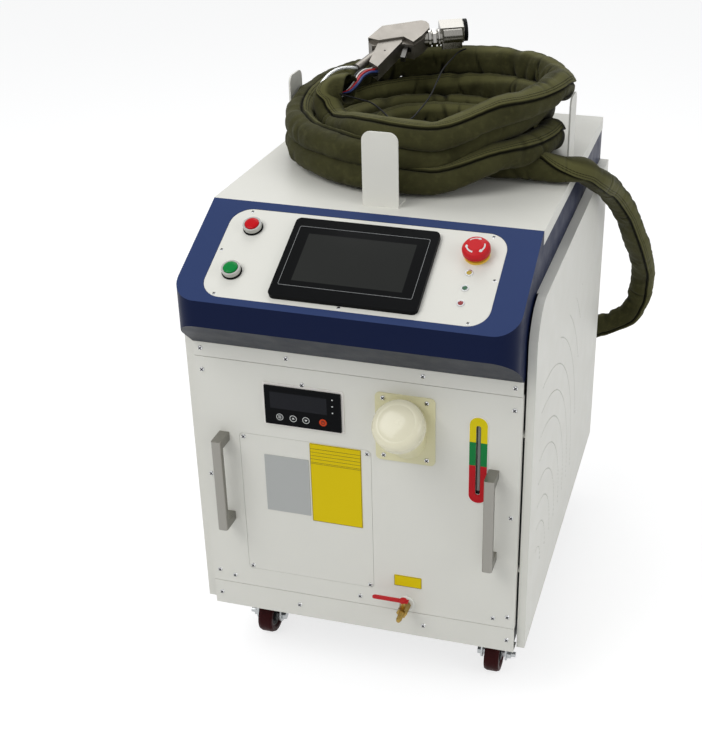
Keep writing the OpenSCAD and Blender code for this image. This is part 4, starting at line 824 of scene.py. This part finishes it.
class WELDER_OT_leads(bpy.types.Operator):
    """Leads from the sleeve's mouth to the gun's grip, the clear gas tube, and the thin cable to the focus
    block"""
    bl_idname = "welder.leads"
    bl_label = "Leads"

    def execute(self, context):
        black = coated("lead_black", tint("0d0e0f"), rough=0.42, grain=1500, shine=0.06)
        route = np.array([
            [-148, 396, 972], [-136, 400, 975], [-129, 418, 983], [-129, 450, 990], [-127, 490, 989],
            [-124, 512, 985], [-122, 524, 987]], float)
        # Each lead leaves the middle one by its own distance across and up, more and more towards the grip
        ease = np.sin(np.linspace(0.12, 1, len(route)) * np.pi / 2)[:, None]
        for name, dx, dz, radius, code in (
                ("lead_fibre", -8.5, 1.5, 3.8, None), ("lead_motor", -1.5, -3.5, 3.4, None),
                ("lead_red", 3.5, 3.5, 2.3, "b21c22"), ("lead_blue", 9.0, 1.0, 2.2, "20356e"),
                ("lead_signal", 7.5, -4.5, 3.0, None), ("lead_white", -3.0, 5.0, 1.5, "d6d6d2")):
            material = coated(name, tint(code), rough=0.4, grain=1500) if code else black
            points = route + ease * np.array([dx, -0.3 * dx, dz])
            made = wire(name, from_front(points), radius / 1000, material)
            if name == "lead_fibre":
                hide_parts("gun_leads")
        wire("gas_tube", from_front([
            [-155, 516, 987], [-163, 506, 990], [-173, 488, 993], [-181, 462, 993], [-186, 432, 988],
            [-186, 406, 978], [-180, 398, 968], [-168, 398, 962], [-152, 397, 965], [-136, 400, 974]]),
            0.003, self.clear_tube())
        wire("focus_cable", from_front([
            [18, 648, 1005], [11, 640, 1003], [3, 600, 996], [0, 545, 989], [3, 495, 981], [9, 430, 974],
            [12, 350, 970], [10, 290, 968], [6, 268, 970], [-2, 262, 971], [-14, 270, 971], [-30, 290, 972],
            [-50, 315, 975], [-74, 340, 977], [-96, 358, 975], [-118, 366, 976], [-138, 366, 980]]),
            0.0014, black)
        return {"FINISHED"}

    def clear_tube(self):
        """Milky polyurethane tube."""
        f = Finish("clear_tube")
        f.set(Base_Color=f.blend(f.noise(60), tint("dfe3e2"), tint("f1f3f2")), Roughness=0.18,
              Transmission_Weight=0.35, IOR=1.45, Coat_Weight=0.4, Coat_Roughness=0.1)
        return f.material


# Finishes of the solids, and small fittings

class WELDER_OT_cabinet(bpy.types.Operator):
    """White powder coat on the sheet metal, satin on the handles, chrome on the screws, and the frame
    inside"""
    bl_idname = "welder.cabinet"
    bl_label = "Cabinet"

    def execute(self, context):
        white = tuple(context.scene.welder_colours.cabinet)
        dress("front_panel access_panel upper_strip kick_plate side_panel_left side_panel_right rear_panel"
              " top_cover hose_brackets console_plate",
              coated("cabinet_powder", white, rough=0.42, depth=0.00005, spread=0.02, patch=3.0))
        dress("base_frame frame_posts top_rails side_rails caster_channels equipment_tray",
              coated("frame_paint", tint("7d8182"), rough=0.5))
        dress("caster_plates front_fork_left front_fork_right rear_forks",
              metal("zinc_steel", tint("b9bcbd"), rough=0.3, spread=0.12))
        dress("panel_screws control_rings", metal("screw_chrome", tint("d9dadb"), rough=0.14, spread=0.05))
        dress("pull_handles",
              metal("satin_aluminium", tint("93918b"), rough=0.36, stretch=(1, 1, 0.03), spread=0.05))
        dress("laser_source cooling_unit", coated("works_paint", tint("9ea2a4"), rough=0.5, grain=400))
        return {"FINISHED"}


class WELDER_OT_console(bpy.types.Operator):
    """Blue console with its screen, buttons, emergency stop and lamps"""
    bl_idname = "welder.console"
    bl_label = "Console"

    def execute(self, context):
        dress("console_shell", self.paint(tuple(context.scene.welder_colours.console)))
        bezel = coated("bezel_plastic", tint("0b0c0d"), rough=0.3, grain=1200, depth=0.00004, shine=0.04)
        dress("screen_bezel", bezel)
        dress("screen_glass", self.glass())
        red, green = (coated(name, tint(code), rough=0.25, depth=0.00002, shine=0.1)
                      for name, code in (("button_red", "c00d18"), ("button_green", "05803a")))
        dress("red_button", red)
        dress("green_button", green)
        dress("stop_cap", coated("stop_red", tint("c6262c"), rough=0.3, depth=0.00002, shine=0.1))
        dress("stop_base", coated("stop_yellow", tint("e9c040"), rough=0.35))
        dress("indicator_lamps", self.lenses())
        chrome = metal("collar_chrome", tint("b9b9b6"), rough=0.12, spread=0.06)
        for name, x, s, body, material in (
                ("red", -186, 156, "stop_button", red), ("green", -190, 64, "start_button", green)):
            place = face_place(x, s, 0)
            piece(name + "_collar", *circle_band(place, 0.0149, 0.0121, 0.0105, 56), chrome, smooth=False)
            piece(name + "_collar_foot", *circle_band(place, 0.0160, 0.0150, 0.0022, 56), bezel, smooth=False)
            crown = turned([(0.0114, 0.0060), (0.0114, 0.0116), (0.0108, 0.0122), (0.0060, 0.0124)], place)
            piece(name + "_crown", *shells([crown]), material, body=body)
        return {"FINISHED"}

    def paint(self, blue):
        """Blue paint where the surface looks up; darker where it looks level, which is partly the lip's own
        darker navy and partly painted shade; and grey where it looks down."""
        f = Finish("console_paint")
        up = f.axis("Z", f.tree.nodes.new("ShaderNodeTexCoord").outputs["Normal"])
        # Partly painted shade: faces that look level go to dark navy, and faces that look down go to grey
        low = f.blend(f.band(up, -0.5, -0.2), tint("3a3d44"), tint("111b3a"))
        high = f.blend(f.noise(4), shade(blue, 0.93), shade(blue, 1.08))
        f.set(Base_Color=f.blend(f.band(up, 0.15, 0.6), low, high), Roughness=f.mottle(30, 0.34, 0.46),
              Normal=f.peel(900, 0.00006), Specular_IOR_Level=0.06)
        return f.material

    def glass(self):
        """Dark screen glass, a shade lighter inside its printed border, told by the way across and the
        height."""
        f = Finish("screen_glass")
        x, z = f.axis("X"), f.axis("Z")
        left, right = SCREEN_ACROSS
        low, high = (console_height(s) for s in SCREEN_UP)
        inside = f.product(f.band(x, left, left + 0.001), f.band(x, right, right - 0.001),
                           f.band(z, low, low + 0.0003), f.band(z, high, high - 0.0003))
        f.set(Base_Color=f.blend(inside, tint("0b0c0d"), f.blend(f.noise(3), tint("232423"), tint("2f302e"))),
              Roughness=0.12, Specular_IOR_Level=0.06)
        return f.material

    def lenses(self):
        """Three lenses told apart by their height up the slope: yellow, green, red."""
        f = Finish("lamp_lens")
        z = f.axis("Z")
        lower = f.blend(f.above(z, console_height(68.5)), tint("8e1216"), tint("0f5a36"))
        f.set(Base_Color=f.blend(f.above(z, console_height(98)), lower, tint("b79a12")),
              Roughness=0.15, Coat_Weight=0.6, Coat_Roughness=0.05)
        return f.material


class WELDER_OT_prints(bpy.types.Operator):
    """Blank plates on the front, and the plain marks: rings and arrows on the keys, lamp dots, the screen's
    border line and the arrows on the emergency stop; and the cross slots of the screws, in painted shade"""
    bl_idname = "welder.prints"
    bl_label = "Plates and marks"

    def execute(self, context):
        self.plates(tuple(context.scene.welder_colours.plate))
        self.keys()
        self.console_marks()
        self.screw_slot_shade()
        return {"FINISHED"}

    def plates(self, yellow):
        """Blank plates: a grey one, a large yellow one with ruled lines, a small yellow one and the pale
        rims."""
        grey = coated("plate_grey", tint("aeb0ae"), rough=0.4, spread=0.02)
        lacquer = coated("plate_yellow", yellow, rough=0.4, spread=0.03, shine=0.08)
        ink = coated("plate_ink", tint("4a3f16"), rough=0.5)
        rim = coated("rim_pale", tint("eeeae4"), rough=0.4)
        for name, material, x, z, width, height in (
                ("plate_data", grey, -0.122, 0.410, 0.078, 0.110),
                ("plate_notice", lacquer, -0.036, 0.4225, 0.0885, 0.153),
                ("plate_small", lacquer, 0.086, 0.250, 0.048, 0.022)):
            flat = slab(front_place(x, z), width, height, 0.001, 0.0009, 0.0002)
            piece(name, *shells([flat]), material, smooth=False)
        self.edges(rim, 0, 0.0014, (
            ("gauge_rim", 0.204, 0.511, 0.0312, 0.1606, 0.0155, 0.0016),
            ("controller_rim", -0.0875, 0.564, 0.1385, 0.0785, 0.0045, 0.0042)))
        top = front_place(-0.036, 0.499, 0.0009)
        lines = [bar(top.moved(0, -y), 0.0875, 0.0005) for y in (0.010, 0.0165, 0.023, 0.0295, 0.036, 0.0385)]
        piece("plate_rules", *shells(lines), ink, smooth=False)
        self.edges(ink, 0.0009, 0.0002, (
            ("plate_notice_edge", -0.036, 0.4225, 0.0875, 0.152, 0.001, 0.0005),
            ("plate_small_edge", 0.086, 0.250, 0.0475, 0.0215, 0.001, 0.0005)))

    def edges(self, material, out, thick, rows):
        """Bands round plates on the front, from rows of name, across, up, width, height, corner and band."""
        for name, x, z, width, height, radius, line in rows:
            band = outline(front_place(x, z, out), width, height, radius, line, thick)
            piece(name, *band, material, smooth=False)

    def keys(self):
        """Rings and plain signs on the controller's keys, and three small lamps beside its window."""
        pale = coated("print_pale", tint("d3d6d4"), rough=0.4)
        dark = coated("print_dark", tint("3a1208"), rough=0.4)
        arrow = np.array([(-0.0026, -0.0012), (0.0026, -0.0012), (0, 0.0022)])
        for name, x, material, outer, inner, bars, corners in (
                ("set", -0.127, pale, 0.0060, 0.0051, [(y, 0.0052, 0.0009) for y in (-0.002, 0, 0.002)], ()),
                ("up", -0.104, pale, 0.0060, 0.0051, (), [arrow]),
                ("down", -0.082, pale, 0.0060, 0.0051, (), [-arrow]),
                ("power", -0.053, dark, 0.0034, 0.0026, [(0.0022, 0.0009, 0.0036)], ())):
            key = front_place(x, 0.544, 0.0056)
            signs = [bar(key.moved(0, y), width, height) for y, width, height in bars]
            signs += [wedge(key, shape) for shape in corners]
            mark = joined(circle_band(key, outer, inner, 0.0002), shells(signs))
            piece(f"key_{name}_mark", *mark, material, body=name + "_key", smooth=False)
        lamps = [turned([(0.0013, 0), (0.0013, 0.0002), (0.0008, 0.0004)], front_place(-0.0362, z, 0.005), 16)
                 for z in (0.588, 0.576, 0.564)]
        piece("controller_lamps", *shells(lamps), pale)

    def console_marks(self):
        """Pale line round the screen, and three curved arrows on the emergency stop's crown: each is a band
        about the radius 14 mm that runs clockwise, widens where its head starts and ends in a point."""
        thin = coated("print_grey", tint("8d8f8f"), rough=0.45)
        bezel = face_place(-1.5, 104.5, 7.7)
        piece("bezel_line", *outline(bezel, 0.212, 0.120, 0.003, 0.0006, 0.0002), thin, smooth=False)
        crown = face_place(180, 150, 0)
        turn, head, end = np.radians(np.linspace(0, 78, 15)), math.radians(56), math.radians(78)
        half = 0.0011 + np.where(turn > head, 0.0017 * (1 - (turn - head) / (end - head)), 0)
        half[-1] = 0.0001
        arrows = []
        for start in np.radians([20, 140, 260]):
            a = (start - turn)[:, None]
            r = 0.0140 + half[:, None] * np.array([[1, 1, -1, -1]])
            h = 0.0238 - (r - 0.010) / 3 + np.array([[-0.0001, 0.0003, 0.0003, -0.0001]])
            arrows.append(crown.at(np.stack([r * np.cos(a), r * np.sin(a), h], 2))[:, ::-1])
        white = coated("print_white", tint("d9dbda"), rough=0.45)
        piece("stop_arrows", *shells(arrows), white, body="emergency_stop", smooth=False)

    def screw_slot_shade(self):
        """Cross slots in the screw heads, drawn as dark bars of painted shade. Each head is the points within
        9 mm of one of them, its axis is the direction in which they spread least, and two bars cross on its
        top."""
        rest = node_points("panel_screws")
        middle = np.array([0, 0, 0.5])
        bars = []
        while len(rest):
            near = np.linalg.norm(rest - rest[0], axis=1) < 0.009
            head, rest = rest[near], rest[~near]
            centre = head.mean(0)
            out = np.linalg.svd(head - centre)[2][2]
            out *= np.sign(out @ (centre - middle))
            top = centre + out * (np.max((head - centre) @ out) + 0.00005)
            size = np.max(np.linalg.norm(head - centre, axis=1))
            side = np.cross((0, 0, 1) if abs(out[2]) < 0.9 else (0, 1, 0), out)
            side /= np.linalg.norm(side)
            over = np.cross(out, side)
            for a, b in ((side + over, over - side), (over - side, -side - over)):
                cross = Place(top, a / math.sqrt(2), b / math.sqrt(2), out)
                bars.append(bar(cross, size * 1.45, size * 0.4, 0.0001))
        # The dark bars are painted shade, standing in for the hollows of the slots
        piece("screw_slot_shade", *shells(bars), coated("slot_painted_shade", tint("17181a"), rough=0.5), smooth=False)


def node_points(name):
    """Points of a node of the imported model, as rows."""
    mesh = nodes[name].data
    points = np.empty(len(mesh.vertices) * 3)
    mesh.vertices.foreach_get("co", points)
    return points.reshape(-1, 3)


class WELDER_OT_fittings(bpy.types.Operator):
    """Front fittings: controller, gauge, filler, drain, and the parts at the back"""
    bl_idname = "welder.fittings"
    bl_label = "Fittings"

    def execute(self, context):
        cream = coated("cream_plastic", tuple(context.scene.welder_colours.cream), rough=0.24, grain=300,
                       depth=0.00005, spread=0.02, coat=0.3)
        dress("filler_cap", cream)
        self.dome(cream)
        dress("filler_neck", coated("cream_plate", tint("ddd8b2"), rough=0.4, spread=0.02))
        dress("key_set key_up key_down rear_glands fan_rotor",
              coated("moulded_black", tint("111214"), rough=0.38, shine=0.05))
        dress("controller_case", coated("controller_black", tint("0d0e10"), rough=0.3, shine=0.04))
        dress("controller_window",
              coated("window_dark", tint("212226"), rough=0.2, depth=0.00001, shine=0.06))
        dress("key_power", coated("key_orange", tint("c8421c"), rough=0.35, shine=0.1))
        dress("gauge_plate", self.gauge())
        dress("gauge_tube", self.sight_tube())
        dress("drain_valve", self.brass())
        dress("drain_lever", coated("lever_red", tint("bc2a30"), rough=0.35, shine=0.1))
        dress("main_switch", coated("switch_red", tint("b4161c"), rough=0.35))
        profile = [(0.0150, 0), (0.0150, 0.0022), (0.0135, 0.0032), (0.0080, 0.0032)]
        collar = turned(profile, front_place(0.083, 0.204))
        piece("drain_grommet", *shells([collar]), coated("grommet_white", tint("e6e6e0"), rough=0.35))
        return {"FINISHED"}

    def dome(self, cream):
        """Crown of the filler cap, turned about its axis, which leans forward by 45 degrees:
        the height is 0.3 + 17 (1 - (r / R)^2.6)^0.45 mm above the shoulder, for r up to R = 42.1 mm."""
        points = node_points("filler_cap")
        out = np.array([0, -1, 1]) / math.sqrt(2)
        height = points @ out
        top = points[height > height.max() - 0.0004].mean(0)
        share = np.sin(np.linspace(np.pi / 2, 0.02, 30))
        profile = np.stack([0.0421 * share, 0.0003 + 0.017 * (1 - share**2.6)**0.45], 1)
        shoulder = Place(top - 0.0137 * out, (1, 0, 0), np.cross(out, (1.0, 0, 0)), out)
        piece("cap_crown", *shells([turned(profile, shoulder, 72)]), cream, body="cap")

    def sight_tube(self):
        """Grey sight tube, black where it ends at the foot of its slot."""
        f = Finish("sight_tube")
        foot = f.band(f.axis("Z"), 0.4535, 0.4525)
        f.set(Base_Color=f.blend(foot, tint("8a8e8a"), tint("0b0c0d")), Roughness=0.22,
              Normal=f.peel(300, 0.00005, 3.0), Specular_IOR_Level=0.2)
        return f.material

    def brass(self):
        """Brass valve; the collar against the panel is white plastic."""
        f = Finish("drain_brass")
        collar = f.band(f.axis("Y"), FRONT_Y - 0.0046, FRONT_Y - 0.0044)
        wear = f.blend(f.noise(60, 4.0), tint("8f7438"), tint("b59a58"))
        f.set(Base_Color=f.blend(collar, wear, tint("d8d8d2")), Metallic=f.math("SUBTRACT", 1.0, collar),
              Roughness=f.mottle(90, 0.24, 0.42))
        return f.material

    def gauge(self):
        """Printed gauge: red below, green in the middle and yellow above."""
        f = Finish("gauge_print")
        z = f.axis("Z")
        lower = f.blend(f.above(z, 0.502), tint("b8141e"), tint("127a3c"))
        f.set(Base_Color=f.blend(f.above(z, 0.545), lower, tint("d8c60c")), Roughness=f.mottle(40, 0.3, 0.42),
              Specular_IOR_Level=0.12)
        return f.material


class WELDER_OT_gun(bpy.types.Operator):
    """Welding gun: satin housing and grip, bright ribbed focus block, dark end ring, holes in painted shade
    and trigger
    """
    bl_idname = "welder.gun"
    bl_label = "Gun"

    def execute(self, context):
        bright = metal("gun_bright", tint("8c8a85"), rough=0.24, spread=0.12)
        black = coated("gun_black", tint("0e0f10"), rough=0.35, shine=0.06)
        dress("gun_body", metal("gun_satin", tint("7f7b75"), rough=0.42, grain=900, spread=0.05))
        dress("gun_head", bright)
        dress("gun_trigger", metal("trigger_metal", tint("4b4a48"), rough=0.3))
        gun = self.gun_place()
        self.barrel(gun, bright, black)
        self.holes(gun, black)
        return {"FINISHED"}

    def gun_place(self):
        """The gun's own frame, in millimetres: x along the barrel, y away from the grip, z out of its upper
        side, turned by 19, -3 and 23 degrees about the machine's axes."""
        turn = np.array(Euler([math.radians(a) for a in (19, -3, 23)], "XYZ").to_matrix()).T / 1000
        return Place(from_front([-113, 594, 1000 * COVER_Z + 168]), *turn)

    def barrel(self, gun, bright, black):
        """Ribs round the focus block's band, its black end ring, and the nuts between the block and the
        housing."""
        along = Place(gun.origin, gun.axes[1], gun.axes[2], gun.axes[0])
        band = along.moved(25, -12, 0)
        ribs = [turned([(13.6, x - 1.2), (15.2, x - 0.8), (15.2, x + 0.8), (13.6, x + 1.2)], band, 40)
                for x in np.linspace(103, 131, 9)]
        piece("focus_ribs", *shells(ribs), bright)
        foot = slab(gun.moved(118, 25, -44), 40, 24, 3, 16, 2)
        piece("focus_foot", *shells([foot]), bright, smooth=False)
        piece("nose_ring", *circle_band(band.moved(0, 0, 141), 21, 6.5, 6.5, 56), black)
        neck = along.moved(16, -19, 0)
        nuts = [turned([(14.5, a), (17, a + 1), (17, b - 1), (14.5, b)], neck, sides)
                for a, b, sides in ((71, 77, 48), (79, 87, 6), (89, 94, 48))]
        chrome = metal("gun_chrome", tint("a3a19d"), rough=0.12, spread=0.1)
        piece("neck_nuts", *shells(nuts), chrome, smooth=False)

    def holes(self, gun, black):
        """Pivot hole on the housing's side and a screw hole on the grip, as black plugs of painted shade."""
        side = Place(gun.at([50.8, -0.4, -19]), gun.axes[0], gun.axes[2], -gun.axes[1])
        plugs = [turned([(4.2, -1), (4.2, 0.5), (3.2, 0.9)], side, 24),
                 turned([(1.7, -1), (1.7, 0.3), (1.2, 0.4)], gun.moved(-16.6, -36.9, -4), 16)]
        # Black plugs as painted shade in the holes
        piece("gun_hole_shade", *shells(plugs), black)


class WELDER_OT_casters(bpy.types.Operator):
    """Caster wheels with maroon treads, dark hubs and grey rims, and the red brake pedals"""
    bl_idname = "welder.casters"
    bl_label = "Casters"

    def execute(self, context):
        tread = tuple(context.scene.welder_colours.tread)
        for place in ("front", "rear"):
            dress(f"{place}_wheel_left {place}_wheel_right", self.wheel(place, tread))
        dress("brake_pedal_left brake_pedal_right", coated("pedal_red", tint("a51a1e"), rough=0.4))
        return {"FINISHED"}

    def wheel(self, place, tread):
        """Tread, pale rim line and dark hub by the distance from the axle."""
        f = Finish(place + "_wheel")
        low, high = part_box(place + "_wheel_left")
        squares = (f.math("POWER", f.math("SUBTRACT", f.axis(which), (low[k] + high[k]) / 2), 2.0)
                   for k, which in ((1, "Y"), (2, "Z")))
        r = f.math("SQRT", f.math("ADD", *squares))
        hub = f.blend(f.band(r, 0.0072, 0.0076), tint("9a9b9c"), tint("17181a"))
        rim = f.blend(f.band(r, 0.0205, 0.0208), hub, tint("6d6a68"))
        rubber = f.blend(f.noise(40, 4.0), shade(tread, 0.8), shade(tread, 1.3))
        f.set(Base_Color=f.blend(f.band(r, 0.0225, 0.0228), rim, rubber), Roughness=f.mottle(90, 0.3, 0.5),
              Normal=f.peel(500, 0.00005), Specular_IOR_Level=0.06)
        return f.material


class WELDER_PT_panel(bpy.types.Panel):
    """Lists the machine's pieces and the sizes and colours that they take"""
    bl_label = "Laser welding machine"
    bl_idname = "WELDER_PT_panel"
    bl_space_type = "VIEW_3D"
    bl_region_type = "UI"
    bl_category = "Welder"

    def draw(self, context):
        for group in (context.scene.welder_colours, context.scene.welder_sizes):
            for key in group.__annotations__:
                self.layout.prop(group, key)
        for step in STEPS:
            self.layout.operator(step.bl_idname)


STEPS = (
    WELDER_OT_studio, WELDER_OT_hose, WELDER_OT_leads, WELDER_OT_cabinet, WELDER_OT_console, WELDER_OT_prints,
    WELDER_OT_fittings, WELDER_OT_gun, WELDER_OT_casters)
CLASSES = (WelderColours, WelderSizes, *STEPS, WELDER_PT_panel)


def register():
    for kind in CLASSES:
        bpy.utils.register_class(kind)
    bpy.types.Scene.welder_colours = bpy.props.PointerProperty(type=WelderColours)
    bpy.types.Scene.welder_sizes = bpy.props.PointerProperty(type=WelderSizes)


def unregister():
    del bpy.types.Scene.welder_sizes
    del bpy.types.Scene.welder_colours
    for kind in reversed(CLASSES):
        bpy.utils.unregister_class(kind)


def main():
    register()
    for step in STEPS:
        group, name = step.bl_idname.split(".")
        getattr(getattr(bpy.ops, group), name)()


if __name__ == "__main__":
    main()
